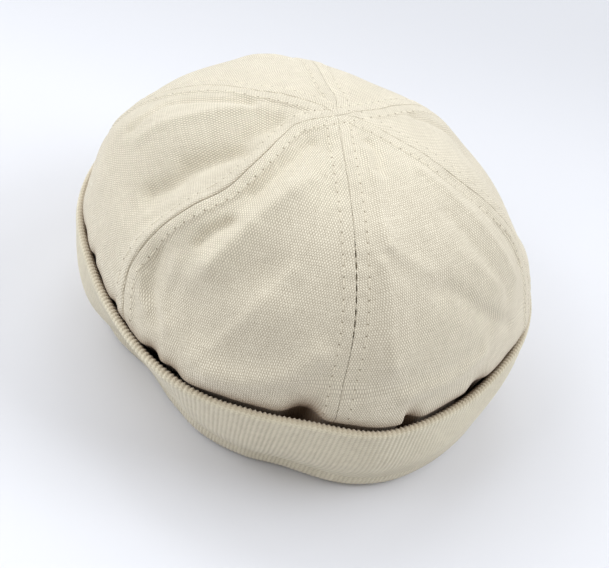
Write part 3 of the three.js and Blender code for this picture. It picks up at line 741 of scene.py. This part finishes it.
# ---- material nodes ----------------------------------------------------------------------
class Signal:
    """An output of a material's nodes; arithmetic on it adds math nodes."""

    def __init__(self, surface, socket):
        self.surface, self.socket = surface, socket

    def to(self, operation, *others):
        return self.surface.calc(operation, self, *others)

    def __add__(self, other):
        return self.to("ADD", other)

    def __sub__(self, other):
        return self.to("SUBTRACT", other)

    def __rsub__(self, other):
        return self.surface.calc("SUBTRACT", other, self)

    def __mul__(self, other):
        return self.to("MULTIPLY", other)

    def __truediv__(self, other):
        return self.to("DIVIDE", other)

    def scaled(self, scale, shift):
        return self.to("MULTIPLY_ADD", scale, shift)

    def centred(self, span):
        """From a value between 0 and 1 to one as far below 0 as above it."""
        return self.scaled(span, -span / 2)

    def ease(self, low, high, to_low=0.0, to_high=1.0):
        return self.surface.add("MapRange", "Result", {
            "Value": self, "From Min": low, "From Max": high, "To Min": to_low,
            "To Max": to_high}, interpolation_type="SMOOTHSTEP")


class Surface:
    """A new material of one shader, and the nodes that feed it."""

    def __init__(self, name, roughness, sheen=0.0, specular=0.25):
        self.material = bpy.data.materials.new(name)
        self.material.use_nodes = True
        self.tree = self.material.node_tree
        self.shader = next(n for n in self.tree.nodes if n.type == "BSDF_PRINCIPLED")
        for key, value in (("Roughness", roughness), ("Sheen Weight", sheen),
                           ("Sheen Roughness", 0.6), ("Specular IOR Level", specular)):
            self.feed(self.shader.inputs[key], value)

    def feed(self, socket, value):
        """Puts a number, a colour or a Signal into a socket."""
        if isinstance(value, Signal):
            self.tree.links.new(value.socket, socket)
        elif isinstance(value, (int, float)):
            socket.default_value = value
        else:
            socket.default_value = (*value[:3], 1)

    def add(self, kind, output, inputs=(), **settings):
        """A new node, as the Signal of one of its outputs."""
        node = self.tree.nodes.new("ShaderNode" + kind)
        for name, value in settings.items():
            setattr(node, name, value)
        for key, value in dict(inputs).items():
            self.feed(node.inputs[key], value)
        return Signal(self, node.outputs[output])

    def calc(self, operation, *values):
        return self.add("Math", 0, enumerate(values), operation=operation)

    def parts(self, vector):
        x = self.add("SeparateXYZ", "X", {"Vector": vector})
        return x, Signal(self, x.socket.node.outputs["Y"])

    def uv(self, name):
        """The two parts of a UV map, in millimetres."""
        return self.parts(self.add("UVMap", "UV", uv_map=name))

    def attribute(self, name):
        return self.add("Attribute", "Fac", attribute_name=name)

    def noise(self, x, y, scale=1.0, detail=2.0):
        place = self.add("CombineXYZ", "Vector", {"X": x, "Y": y})
        return self.add("TexNoise", "Fac",
                        {"Scale": scale, "Detail": detail, "Vector": place})

    def mix(self, factor, a, b):
        """Mixes two colours, each of them a colour or a Signal."""
        return self.add("Mix", MIX_RESULT, {0: factor, MIX_A: a, MIX_B: b}, data_type="RGBA")

    def finish(self, colour, height=None, relief=0.0, strength=1.0):
        """Gives the shader its colour and bump; returns the material."""
        self.feed(self.shader.inputs["Base Color"], colour)
        if height is not None:
            bump = self.add("Bump", "Normal",
                            {"Distance": relief, "Strength": strength, "Height": height})
            self.feed(self.shader.inputs["Normal"], bump)
        return self.material


def needle_holes(cloth, line, sizes):
    """Small round marks, one at each end of each stitch, beside a line of sewing."""
    pitch = sizes.stitch_pitch * MM
    offset = cloth.attribute(line + "_distance") - sizes.stitch_offset * MM
    turn = cloth.attribute(line + "_run") / pitch
    beat = turn - turn.to("ROUND")
    reach = (beat * pitch).to("POWER", 2.0) + offset.to("POWER", 2.0)
    return reach.ease(*HOLE_REACH, 1.0, 0.0)


def canvas_material(sizes, colours):
    """Plain-weave cotton canvas: threads over and under each other, slubs, needle holes with
    painted shade in them, and painted shade where the crown tucks into the cuff.
    """
    cloth = Surface("unbleached_canvas", roughness=0.9, sheen=0.15)
    u, v = cloth.uv("grain")
    drift = cloth.noise(u * DRIFT_GRAIN, v * DRIFT_GRAIN).centred(DRIFT)
    u, v = u + drift, v + drift
    across, along = u / (sizes.warp_pitch * MM), v / (sizes.weft_pitch * MM)
    sine_u, sine_v = (across * math.pi).to("SINE"), (along * math.pi).to("SINE")
    warp = (sine_u * sine_v).scaled(0.5, 0.5)
    weave = (1.0 - sine_v.to("ABSOLUTE")).scaled(-VALLEY, warp)
    thread_u = cloth.noise(across.to("FLOOR"), v * 0.05, scale=3.1, detail=1.0)
    thread_v = cloth.noise(u * 0.06, along.to("FLOOR"), scale=2.3, detail=1.0)
    slub = cloth.noise(u * 0.05, v * 0.9, detail=1.0).ease(*SLUB_RANGE)
    patch = cloth.noise(u * 0.03, v * 0.03, detail=3.0)
    tone = weave + thread_u.centred(WARP_TONE) + thread_v.centred(WEFT_TONE)
    tone = slub.scaled(SLUB_TONE, tone + patch.centred(PATCH_TONE))
    colour = cloth.mix(tone.ease(-0.25, 0.9), colours.canvas_shade, colours.canvas)
    marks = needle_holes(cloth, "long", sizes).to("MAXIMUM",
                                                  needle_holes(cloth, "short", sizes))
    # painted shade darkens the needle holes, which the bump also dents
    colour = cloth.mix(marks * HOLE_SHADE, colour, colours.hole_shade)
    # painted shade, darkening and browning the canvas where the crown tucks into the cuff
    colour = cloth.mix(cloth.attribute("tuck"), colour, colours.crevice_shade)
    fuzz = cloth.noise(u * 2.4, v * 2.4)
    height = slub.scaled(0.15, fuzz.scaled(0.2, weave)) - marks
    return cloth.finish(colour, height, sizes.weave_relief)


def knit_material(sizes, colours):
    """Rib knit: ribs with darker valleys, and rows of small V-shaped loops on each rib."""
    cloth = Surface("rib_knit_cotton", roughness=0.95, sheen=0.2)
    rib, run = cloth.uv("ribs")
    phase = (rib * (2 * math.pi)).to("COSINE")
    valley = phase.ease(-1.0, 0.35, 1.0, 0.0)
    side = (rib - rib.to("ROUND")).to("ABSOLUTE")
    course = run / (sizes.course_pitch * MM)
    loops = (side.scaled(LOOP_SLANT, course) * math.pi).to("SINE").to("ABSOLUTE")
    yarn = cloth.noise((rib + 0.5).to("FLOOR"), run * 0.12, scale=2.7)
    patch = cloth.noise(rib * 0.07, run * 0.04, detail=3.0)
    tone = loops.scaled(0.3, 0.42) + yarn.centred(YARN_TONE) + patch.centred(KNIT_PATCH_TONE)
    tone = tone - valley * RIB_SHADE
    knit = cloth.mix(tone.ease(-0.1, 0.85), colours.knit_shade, colours.knit)
    # painted shade on the crest's inner side, beside the crown
    knit = cloth.mix(cloth.attribute("tuck"), knit, colours.crevice_shade)
    height = loops.scaled(0.6, phase * 0.4)
    return cloth.finish(knit, height, sizes.loop_relief, 0.8)


def thread_material(colours):
    """Twisted cotton thread: a fine slanting ply, and a slow change of tone."""
    cloth = Surface("topstitch_thread", roughness=0.7, sheen=0.2)
    place = cloth.add("TexCoord", "Object")
    ply = cloth.add("TexWave", "Fac", {"Scale": 900, "Distortion": 1.5, "Vector": place},
                    wave_type="BANDS", bands_direction="DIAGONAL")
    tone = cloth.add("TexNoise", "Fac", {"Scale": 140, "Vector": place})
    colour = cloth.mix(ply.scaled(0.4, tone * 0.6), colours.thread_shade, colours.thread)
    return cloth.finish(colour, ply, 0.00006, 0.6)


def tape_material(colours):
    """Narrow cotton tape inside the seams: a fine twill, read from its own UV map."""
    cloth = Surface("cotton_seam_tape", roughness=0.9, sheen=0.15)
    u, v = cloth.uv("tape")
    twill = ((u + v) * 7.0).to("SINE")
    tone = twill.scaled(0.3, cloth.noise(u, v, scale=0.6))
    colour = cloth.mix(tone.ease(0.0, 1.1), colours.canvas_shade, colours.tape)
    return cloth.finish(colour, twill, 0.0001, 0.7)


def floor_material(colours):
    """Matte paper, with painted shade making it a little darker towards the back."""
    paper = Surface("matte_paper", roughness=0.9, specular=0.2)
    place = paper.add("TexCoord", "Object")
    grain = paper.add("TexNoise", "Fac", {"Scale": 3, "Vector": place})
    tint = paper.mix(grain, [c * PAPER_GRAIN for c in colours.floor], colours.floor)
    x, y = paper.parts(place)
    # painted shade, darker towards the back
    far = (y - x).ease(0.0, 0.5)
    return paper.finish(paper.mix(far, tint, [c * FAR_FLOOR_SHADE for c in colours.floor]))


# ---- what a user may change --------------------------------------------------------------
def metres(name, description, default, low, high):
    return bpy.props.FloatProperty(name=name, description=description, default=default,
                                   min=low, max=high, unit="LENGTH", precision=5)


def rgb(name, description, default):
    return bpy.props.FloatVectorProperty(name=name, description=description, size=3,
                                         default=default, subtype="COLOR", min=0, max=1)


class BeanieSizes(bpy.types.PropertyGroup):
    """Sizes of the cloth, the sewing and the knit."""

    canvas_thickness: metres(
        "Canvas", "Thickness of the canvas", 0.0010, 0.0004, 0.0016)
    warp_pitch: metres(
        "Warp pitch", "Distance between warp threads", 0.00048, 0.0003, 0.002)
    weft_pitch: metres(
        "Weft pitch", "Distance between weft threads", 0.00103, 0.0003, 0.002)
    weave_relief: metres(
        "Weave relief", "How far a thread stands above the next", 0.00021, 0, 0.001)
    stitch_offset: metres(
        "Stitch offset", "Distance of the topstitching from its seam", 0.0048, 0.003, 0.009)
    stitch_pitch: metres(
        "Stitch pitch", "Distance between two needle holes", 0.0043, 0.002, 0.008)
    thread_width: metres(
        "Thread", "Width of the topstitching thread", 0.00042, 0.0002, 0.0012)
    rib_count: bpy.props.IntProperty(
        name="Ribs", description="Ribs round the cuff", default=320, min=80, max=330)
    wall_rib_depth: metres(
        "Rib depth, wall", "Depth between ribs on the cuff's wall", 0.0002, 0, 0.001)
    crest_rib_depth: metres(
        "Rib depth, crest", "Depth between ribs on the folded crest", 0.0006, 0, 0.0015)
    course_pitch: metres(
        "Course pitch", "Height of one row of knitted loops", 0.0012, 0.0005, 0.003)
    loop_relief: metres(
        "Loop relief", "How far a loop stands out", 0.00018, 0, 0.001)


class BeanieColours(bpy.types.PropertyGroup):
    """Colours of the cloths, the thread and the studio."""

    canvas: rgb("Canvas", "Thread tops of the canvas", (0.80, 0.73, 0.59))
    canvas_shade: rgb("Canvas shade", "Between the canvas threads", (0.42, 0.36, 0.27))
    knit: rgb("Knit", "Loops of the rib knit", (0.70, 0.635, 0.49))
    knit_shade: rgb("Knit shade", "Between the ribs", (0.44, 0.385, 0.28))
    thread: rgb("Thread", "Topstitching thread", (0.78, 0.71, 0.57))
    thread_shade: rgb("Thread shade", "Between the thread's plies", (0.62, 0.55, 0.43))
    # painted shade in the needle holes
    hole_shade: rgb("Needle hole", "In a needle hole", (0.24, 0.18, 0.11))
    # painted shade where the crown and the cuff meet
    crevice_shade: rgb("Tucked cloth", "Where the crown and the cuff meet", (0.2, 0.1, 0.035))
    tape: rgb("Seam tape", "Tape inside the crown", (0.68, 0.62, 0.50))
    floor: rgb("Floor", "Studio floor", (0.685, 0.68, 0.71))


# ---- operators ---------------------------------------------------------------------------
def gore_columns(width):
    """Places across a gore, in millimetres from its first seam, for rows of those widths."""
    edge = np.array(EDGE_COLUMNS)
    scale = np.minimum(width / NARROW, 1)[:, None]
    near = edge[None, :] * scale
    inner = near[:, -1:]
    middle = inner + (width[:, None] - 2 * inner) * np.linspace(0, 1, MIDDLE_COLUMNS + 1)[1:-1]
    far = width[:, None] - near[:, ::-1]
    return np.concatenate([near, middle, far], axis=1)


def seam_opening(seam, run, sizes):
    """Half the gap at a seam; the front one opens between its own stitches, low down."""
    gap = np.full(run.shape, SEAM_GAP / 2)
    if seam.name == "front":
        beat = 0.5 + 0.5 * np.cos(2 * math.pi * run / (sizes.stitch_pitch * MM))
        low = smoothstep(run, *OPEN_RUN[:2]) * (1 - smoothstep(run, *OPEN_RUN[2:]))
        gap = gap + SEAM_OPEN / 2 * low * smoothstep(beat, *OPEN_BEAT)
    return gap


def gore_places(seam, next_seam, sizes):
    """Azimuth and share of a gore's grid, and its middle line and radius, row by row."""
    shares = row_shares()
    radius = gore_radius(seam.azimuth, shares)
    lines = [seam_azimuth(s, shares) for s in (seam, next_seam)]
    gaps = [np.degrees(seam_opening(s, run_along(smooth_crown(line, shares)), sizes)
                       / np.maximum(radius, 1)) for s, line in zip((seam, next_seam), lines)]
    start = lines[0] + gaps[0]
    sweep = np.mod(lines[1] - gaps[1] - start, 360)
    width = np.radians(sweep) * radius
    azimuth = start[:, None] + sweep[:, None] * gore_columns(width) / width[:, None]
    return azimuth, shares[:, None], start + sweep / 2, radius


def flat_pattern(azimuth, shares, middle, radius):
    """Each grid point's place on the gore as it was cut, in millimetres: across its middle
    line and down it."""
    length = run_along(smooth_crown(middle, shares))
    station = seam_station(shares)
    theta = np.radians(90 * np.minimum(station, LEVEL_STATION))
    phi = np.radians(azimuth - middle[:, None])
    bend = np.maximum(np.sin(theta), 1e-4)[:, None]
    across = radius[:, None] / bend * np.arcsin(np.clip(bend * np.sin(phi), -1, 1))
    down_angle = np.arctan2(bend * np.cos(phi), np.cos(theta)[:, None])
    level = station >= LEVEL_STATION
    top = int(np.argmax(level)) + 1
    down = np.interp(down_angle, theta[:top], length[:top])
    return across, down + np.where(level, length - length[top - 1], 0)[:, None]


def gore_mesh(name, number, side, turned, lines, sizes):
    """Mesh of one gore's outer face, with its grain and its places beside the sewing; also
    the gore's flat width and length."""
    seam, next_seam = SEAMS[number], SEAMS[(number + 1) % len(SEAMS)]
    azimuth, share, middle, radius = gore_places(seam, next_seam, sizes)
    smooth = smooth_crown(azimuth, share)
    long = lines["long"].beside(smooth)
    own = [lines[s.name].beside(smooth) for s in (seam, next_seam) if s.name in lines]
    short = nearer(own[0], own[-1])
    points, _ = crown_surface(azimuth, share, seam_relief(long, short, side, sizes))
    piece, corners = grid_mesh(name, to_frame(points))
    across, down = flat_pattern(azimuth, share[:, 0], middle, radius)
    turn = math.radians(turned)
    u = across * math.cos(turn) - down * math.sin(turn) + GRAIN_SHIFT[0] * number
    v = across * math.sin(turn) + down * math.cos(turn) + GRAIN_SHIFT[1] * number
    add_grid_uv(piece, "grain", u, v, corners)
    # how much painted shade each point gets by the cuff and in the gathers
    add_attribute(piece, "tuck", crevice_shade_amount(azimuth, smooth[..., 2]))
    for line, sewing in (("long", long), ("short", short)):
        add_attribute(piece, line + "_distance", sewing.distance)
        add_attribute(piece, line + "_run", sewing.run)
    return piece, (float(np.ptp(across)), float(np.ptp(down)))


class BEANIE_OT_gores(bpy.types.Operator):
    """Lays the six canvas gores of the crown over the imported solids"""

    bl_idname = "beanie.gores"
    bl_label = "Canvas gores"
    bl_options = {"REGISTER", "UNDO"}

    def execute(self, context):
        sizes, colours = context.scene.beanie_sizes, context.scene.beanie_colours
        material = canvas_material(sizes, colours)
        lines = {name: SewnLine(name, seams) for name, seams in LINES}
        for number, (name, node, side, turned) in enumerate(GORES):
            piece, flat = gore_mesh(name, number, side, turned, lines, sizes)
            thicken(piece, sizes.canvas_thickness)
            give_material(piece, material)
            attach(piece, "root")
            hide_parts(node)
        return {"FINISHED"}


def cuff_section(azimuth):
    """Closed section of the cuff at each azimuth: radius and height of its points, how deep
    its ribs are there (a share between the wall's and the crest's), and how much painted
    shade each row gets where it is tucked in behind the crest, beside the crown."""
    half = KNIT / 2
    heel = plan_curve(azimuth, HEEL)
    leg = heel - ROLL_SPAN
    middle = (heel + leg) / 2
    rows = []

    def row(radius, height, depth, tuck=0.0):
        height = np.broadcast_to(np.asarray(height, float), azimuth.shape)
        rows.append((radius, height, float(depth), float(tuck)))

    # Up the outer wall, over the crest and down the inner side.
    for height in np.linspace(LOWER_WALL_HEIGHT, CREST_SHOULDER, WALL_ROWS):
        row(cuff_wall_radius(azimuth, height) + half, height,
            WALL_DEPTH * smoothstep(height, *CREST_DEPTH_RISE))
    shoulder = cuff_wall_radius(azimuth, CREST_SHOULDER)
    for degrees in np.linspace(0, 180, CREST_ROWS)[1:-1]:
        angle = math.radians(degrees)
        row(shoulder + half * math.cos(angle), CREST_SHOULDER + half * math.sin(angle),
            WALL_DEPTH + (1 - WALL_DEPTH) * smoothstep(degrees, *CREST_DEPTH_TURN),
            sum(size * smoothstep(degrees, *turn) for size, *turn in CREST_SHADES))
    for height in (CREST_SHOULDER, *INNER_ROWS, LOWER_WALL_HEIGHT):
        row(cuff_wall_radius(azimuth, height) - half, height,
            1.0 if height > CREST_DEPTH_END else INNER_DEPTH,
            INNER_SHADE[0] * smoothstep(height, *INNER_SHADE[1:]))

    # Through the inside of the roll, up to the sewn edge, over it and down again.
    start = cuff_wall_radius(azimuth, LOWER_WALL_HEIGHT) - half
    turns = np.radians(EDGE_TURNS)
    for angle in turns:
        reach = np.cos(angle)
        outer = np.where(reach > 0, start - middle, middle - leg - half)
        drop = (LOWER_WALL_HEIGHT - ROLL_INSIDE_HEIGHT) * math.sin(angle)
        row(middle + outer * reach, LOWER_WALL_HEIGHT - drop, LEG_DEPTH)
    for height in (*LEG_ROWS_UP, LEG_TOP):
        row(leg + half, height, LEG_DEPTH)
    for angle in turns:
        row(leg + half * math.cos(angle),
            LEG_TOP + (SEWN_HEIGHT - LEG_TOP) * math.sin(angle), LEG_DEPTH)
    for height in (LEG_TOP, *LEG_ROWS_DOWN):
        row(leg - half, height, LEG_DEPTH)

    # Round under the roll, which is flat where it rests.
    inner = middle - (leg - half)
    outer = cuff_wall_radius(azimuth, LOWER_WALL_HEIGHT) + half - middle
    for angle in np.radians(ROLL_TURNS):
        reach = math.copysign(abs(math.cos(angle)) ** ROLL_SQUARE, math.cos(angle))
        drop = abs(math.sin(angle)) ** ROLL_SQUARE
        side = inner if reach < 0 else outer
        row(middle + side * reach, LOWER_WALL_HEIGHT * (1 - min(drop * ROLL_FLAT, 1)),
            WALL_DEPTH)
    return [np.array(column) for column in zip(*rows)]


def knit_cuff(sizes):
    """Mesh of the cuff with its ribs, and the length of the path round its section."""
    ribs = (np.arange(sizes.rib_count)[:, None] + np.array(RIB_PHASES)).reshape(-1)
    azimuth = ribs * 360 / sizes.rib_count
    radius, height, depth, tuck = cuff_section(azimuth)
    at = cylindrical(azimuth[None, :], radius, height)
    sway = sum(size * soft_noise(at * np.array([1, 1, squeeze]), span, seed)
               for size, squeeze, span, seed in RIB_SWAYS)
    out_r = np.roll(height, -1, axis=0) - np.roll(height, 1, axis=0)
    out_z = np.roll(radius, 1, axis=0) - np.roll(radius, -1, axis=0)
    size = np.maximum(np.hypot(out_r, out_z), 1e-6)
    wall, crest = sizes.wall_rib_depth * MM, sizes.crest_rib_depth * MM
    deep = (wall + (crest - wall) * depth)[:, None]
    groove = 0.5 - 0.5 * np.cos(2 * math.pi * ribs)[None, :]
    lump = CUFF_LUMP * soft_noise(at, CUFF_LUMP_SPAN, 5.5) * smoothstep(height, *CUFF_LUMP_RISE)
    lift = (lump - deep * groove) * np.where(height < REST_HEIGHT, 0.0, 1.0)
    points = cylindrical(azimuth[None, :] + RIB_SWAY * sway, radius + lift * out_r / size,
                         np.maximum(height + lift * out_z / size, 0.0))
    run = run_along(points[:, 0])
    closing = run[-1] + float(np.linalg.norm(points[0, 0] - points[-1, 0]))
    piece, corners = grid_mesh("rib_knit_cuff", to_frame(points), closed=True)
    row_of, column_of = np.divmod(np.arange(len(corners)), len(ribs))
    left, right = ribs[column_of], np.append(ribs[1:], sizes.rib_count)[column_of]
    top, bottom = run[row_of], np.append(run[1:], closing)[row_of]
    add_uv(piece, "ribs", np.stack([np.stack([left, left, right, right], axis=1),
                                    np.stack([top, bottom, bottom, top], axis=1)], axis=-1))
    # painted shade on the rows behind the crest
    add_attribute(piece, "tuck", np.broadcast_to(tuck[:, None], radius.shape))
    face_outward(piece)
    return piece, closing


class BEANIE_OT_cuff(bpy.types.Operator):
    """Knits the turned-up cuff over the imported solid"""

    bl_idname = "beanie.cuff"
    bl_label = "Rib-knit cuff"
    bl_options = {"REGISTER", "UNDO"}

    def execute(self, context):
        sizes, colours = context.scene.beanie_sizes, context.scene.beanie_colours
        piece, closing = knit_cuff(sizes)
        give_material(piece, knit_material(sizes, colours))
        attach(piece, "root")
        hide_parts("cuff")
        return {"FINISHED"}


def stitch_model(sizes):
    """One stitch of the topstitching, lying along X: a low arch whose ends dive into their
    needle holes."""
    deselect_all()
    half = sizes.thread_width / 2
    reach = sizes.stitch_pitch / 2
    bpy.ops.mesh.primitive_cylinder_add(vertices=6, radius=half, depth=reach * 0.6,
                                        rotation=(0, math.pi / 2, 0))
    stitch = bpy.context.object
    stitch.name = stitch.data.name = "stitch"
    bpy.ops.object.transform_apply(location=True, rotation=True, scale=True)
    for side in (1, -1):
        for step, drop, narrow in STITCH_ENDS:
            bpy.ops.object.mode_set(mode="EDIT")
            bpy.ops.mesh.select_all(action="DESELECT")
            bpy.ops.object.mode_set(mode="OBJECT")
            ends = max(side * f.center.x for f in stitch.data.polygons)
            for face in stitch.data.polygons:
                face.select = abs(side * face.center.x - ends) < 1e-7
            bpy.ops.object.mode_set(mode="EDIT")
            bpy.ops.mesh.extrude_region_move(
                TRANSFORM_OT_translate={"value": (side * reach * step, 0, -half * drop)})
            bpy.ops.transform.resize(value=(1, narrow, narrow))
            bpy.ops.object.mode_set(mode="OBJECT")
    face_outward(stitch)
    bpy.ops.object.shade_smooth_by_angle(angle=math.radians(60))
    return stitch


def crown_face():
    """A search tree over the finished gores, to set things down on."""
    corners, faces = [], []
    for name, *_ in GORES:
        mesh = bpy.data.objects[name].data
        first = len(corners)
        corners += [vertex.co.copy() for vertex in mesh.vertices]
        faces += [[first + i for i in face.vertices] for face in mesh.polygons]
    return BVHTree.FromPolygons(corners, faces)


def stitch_holes(line, side, face, sizes):
    """Needle holes of one row beside a line of sewing, each with the normal there."""
    offset, pitch = sizes.stitch_offset * MM, sizes.stitch_pitch * MM
    lowest = BULGE_HEIGHT - 2
    height = line.points[:, 2]
    top = int(height.argmax()) if line.name == "long" else 0
    first = np.interp(lowest, height[:top], line.run[:top]) if top else 0.0
    last = np.interp(-lowest, -height[top:], line.run[top:])
    runs = np.arange(math.ceil(first / pitch), math.floor(last / pitch) + 1) * pitch
    holes = []
    for point, along, normal in zip(*line.at(runs)):
        across = np.cross(normal, along) * side
        above = Vector(to_frame(point + offset * across + DROP_FROM * normal))
        spot, _, _, _ = face.ray_cast(above, Vector(-normal), DROP_REACH)
        if spot is not None:
            holes.append((spot, Vector(normal)))
    return holes


def clear_of_long(spot, lines, sizes):
    """Whether a hole lies outside the long seam's own rows."""
    point = np.array(spot)[None] * MM + CENTRE
    return lines["long"].beside(point).distance[0] > sizes.stitch_offset * MM + ROW_CLEARANCE


def lay_stitch(model, start, end, up, sizes):
    """A copy of the stitch between two needle holes."""
    along = end - start
    across = up.cross(along).normalized()
    up = along.normalized().cross(across).normalized()
    middle = (start + end) / 2 + up * sizes.thread_width * STITCH_RISE
    scale = along.length / sizes.stitch_pitch * STITCH_FILL
    turn = Matrix((along.normalized() * scale, across, up)).transposed().to_4x4()
    copy = bpy.data.objects.new("stitch_copy", model.data.copy())
    bpy.context.scene.collection.objects.link(copy)
    copy.data.transform(Matrix.Translation(middle) @ turn)
    return copy


class BEANIE_OT_topstitching(bpy.types.Operator):
    """Sews a row of stitches along both sides of each seam, all copies of one stitch"""

    bl_idname = "beanie.topstitching"
    bl_label = "Topstitching"
    bl_options = {"REGISTER", "UNDO"}

    def execute(self, context):
        sizes, colours = context.scene.beanie_sizes, context.scene.beanie_colours
        material = thread_material(colours)
        model = stitch_model(sizes)
        face = crown_face()
        lines = {name: SewnLine(name, seams) for name, seams in LINES}
        for name, line in lines.items():
            copies = []
            for side in (-1, 1):
                holes = stitch_holes(line, side, face, sizes)
                if name != "long":
                    holes = [h for h in holes if clear_of_long(h[0], lines, sizes)]
                for (start, up), (end, _) in zip(holes, holes[1:]):
                    copies.append(lay_stitch(model, start, end, up, sizes))
            deselect_all()
            for copy in copies:
                copy.select_set(True)
            context.view_layer.objects.active = copies[0]
            bpy.ops.object.join()
            row = context.view_layer.objects.active
            row.name = row.data.name = "topstitching_" + name
            give_material(row, material)
            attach(row, "root")
        bpy.data.objects.remove(model)
        return {"FINISHED"}


def tape_mesh(number, seam, inner):
    """Mesh of the tape inside one seam, a distance inside the canvas; also its length."""
    shares = np.linspace(*TAPE_SHARES, TAPE_ROWS)
    line = seam_azimuth(seam, shares)
    run = run_along(smooth_crown(line, shares))[:, None]
    radius = gore_radius(seam.azimuth, shares)
    place = np.linspace(-TAPE_WIDTH / 2, TAPE_WIDTH / 2, TAPE_COLUMNS)[None, :]
    azimuth = line[:, None] + np.degrees(place / np.maximum(radius, TAPE_LEAST_RADIUS)[:, None])
    points, normal = crown_surface(azimuth, shares[:, None])
    pull = (TAPE_PULL * bell(place / TAPE_PULL_WIDTH)
            + TAPE_WAVE * np.sin(run / TAPE_WAVE_RUN + number))
    points = points - normal * (inner + TAPE_STEP * number - pull)[..., None]
    piece, corners = grid_mesh("seam_tape_" + seam.name, to_frame(points))
    add_grid_uv(piece, "tape", *np.broadcast_arrays(place, run), corners)
    return piece, run[-1, 0]


class BEANIE_OT_seam_tapes(bpy.types.Operator):
    """Lays a cotton tape over each seam inside the crown"""

    bl_idname = "beanie.seam_tapes"
    bl_label = "Seam tapes"
    bl_options = {"REGISTER", "UNDO"}

    def execute(self, context):
        sizes, colours = context.scene.beanie_sizes, context.scene.beanie_colours
        material = tape_material(colours)
        for number, seam in enumerate(SEAMS):
            piece, length = tape_mesh(number, seam, sizes.canvas_thickness * MM + TAPE_GAP)
            thicken(piece, TAPE_THICKNESS)
            give_material(piece, material)
            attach(piece, "root")
        return {"FINISHED"}


def direction(azimuth, elevation=0.0):
    """Unit vector at an azimuth and an elevation in degrees."""
    turn, rise = math.radians(azimuth), math.radians(elevation)
    level = math.cos(rise)
    return Vector((level * math.cos(turn), level * math.sin(turn), math.sin(rise)))


def put_in_studio(name, data, place, facing):
    """A camera or light at a place, with its own Z axis turned to a direction."""
    item = bpy.data.objects.new(name, data)
    bpy.context.scene.collection.objects.link(item)
    item.location = place
    item.rotation_mode = "QUATERNION"
    item.rotation_quaternion = facing.to_track_quat("Z", "Y")
    return item


class BEANIE_OT_studio(bpy.types.Operator):
    """Sets a pale floor, soft lights and the camera"""

    bl_idname = "beanie.studio"
    bl_label = "Studio"
    bl_options = {"REGISTER", "UNDO"}

    def execute(self, context):
        scene = context.scene
        deselect_all()
        bpy.ops.mesh.primitive_plane_add(size=FLOOR_SIZE, location=(0, 0, FLOOR_HEIGHT))
        floor = context.object
        floor.name = "studio_floor"
        bpy.ops.object.transform_apply(location=True, rotation=True, scale=True)
        give_material(floor, floor_material(scene.beanie_colours))

        back = direction(VIEW_AZIMUTH, VIEW_ELEVATION)
        data = bpy.data.cameras.new("camera")
        data.sensor_width = SENSOR_WIDTH
        data.lens = LENS
        data.clip_start = CLIP_START
        camera = put_in_studio("camera", data, Vector(VIEW_TARGET) + back * VIEW_DISTANCE, back)
        roll = Quaternion((0, 0, 1), math.radians(VIEW_ROLL))
        camera.rotation_quaternion = camera.rotation_quaternion @ roll
        scene.camera = camera

        world = bpy.data.worlds.new("studio")
        world.use_nodes = True
        sky = next(n for n in world.node_tree.nodes if n.type == "BACKGROUND")
        sky.inputs["Color"].default_value = (*SKY_COLOUR, 1)
        sky.inputs["Strength"].default_value = SKY_STRENGTH
        scene.world = world

        right, away = direction(VIEW_AZIMUTH + 90), -direction(VIEW_AZIMUTH)
        for name, across, depth, rise, size, power in LIGHTS:
            lamp = bpy.data.lights.new(name, "AREA")
            lamp.shape = "DISK"
            lamp.size = size
            lamp.energy = power
            lamp.color = LIGHT_COLOUR
            place = right * across + away * depth + Vector((0, 0, rise))
            put_in_studio(name, lamp, place, place - Vector((0, 0, LIGHTS_AIM)))
        scene.view_settings.view_transform = "Standard"
        return {"FINISHED"}


class BEANIE_PT_sidebar(bpy.types.Panel):
    """Lists the sizes, the colours and the pieces of the cap"""

    bl_idname = "BEANIE_PT_sidebar"
    bl_label = "Docker Beanie"
    bl_space_type = "VIEW_3D"
    bl_region_type = "UI"
    bl_category = "Beanie"

    def draw(self, context):
        layout = self.layout
        for group in (context.scene.beanie_sizes, context.scene.beanie_colours):
            box = layout.box()
            for name in group.__annotations__:
                box.prop(group, name)
        for operator in OPERATORS:
            layout.operator(operator.bl_idname)


OPERATORS = (BEANIE_OT_studio, BEANIE_OT_cuff, BEANIE_OT_gores, BEANIE_OT_topstitching,
             BEANIE_OT_seam_tapes)
CLASSES = (BeanieSizes, BeanieColours, *OPERATORS, BEANIE_PT_sidebar)


def register():
    for cls in CLASSES:
        bpy.utils.register_class(cls)
    bpy.types.Scene.beanie_sizes = bpy.props.PointerProperty(type=BeanieSizes)
    bpy.types.Scene.beanie_colours = bpy.props.PointerProperty(type=BeanieColours)


def unregister():
    del bpy.types.Scene.beanie_colours
    del bpy.types.Scene.beanie_sizes
    for cls in reversed(CLASSES):
        bpy.utils.unregister_class(cls)


def main():
    register()
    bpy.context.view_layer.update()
    bpy.ops.beanie.studio()
    bpy.ops.beanie.cuff()
    bpy.ops.beanie.gores()
    bpy.ops.beanie.topstitching()
    bpy.ops.beanie.seam_tapes()
    deselect_all()


if __name__ == "__main__":
    main()
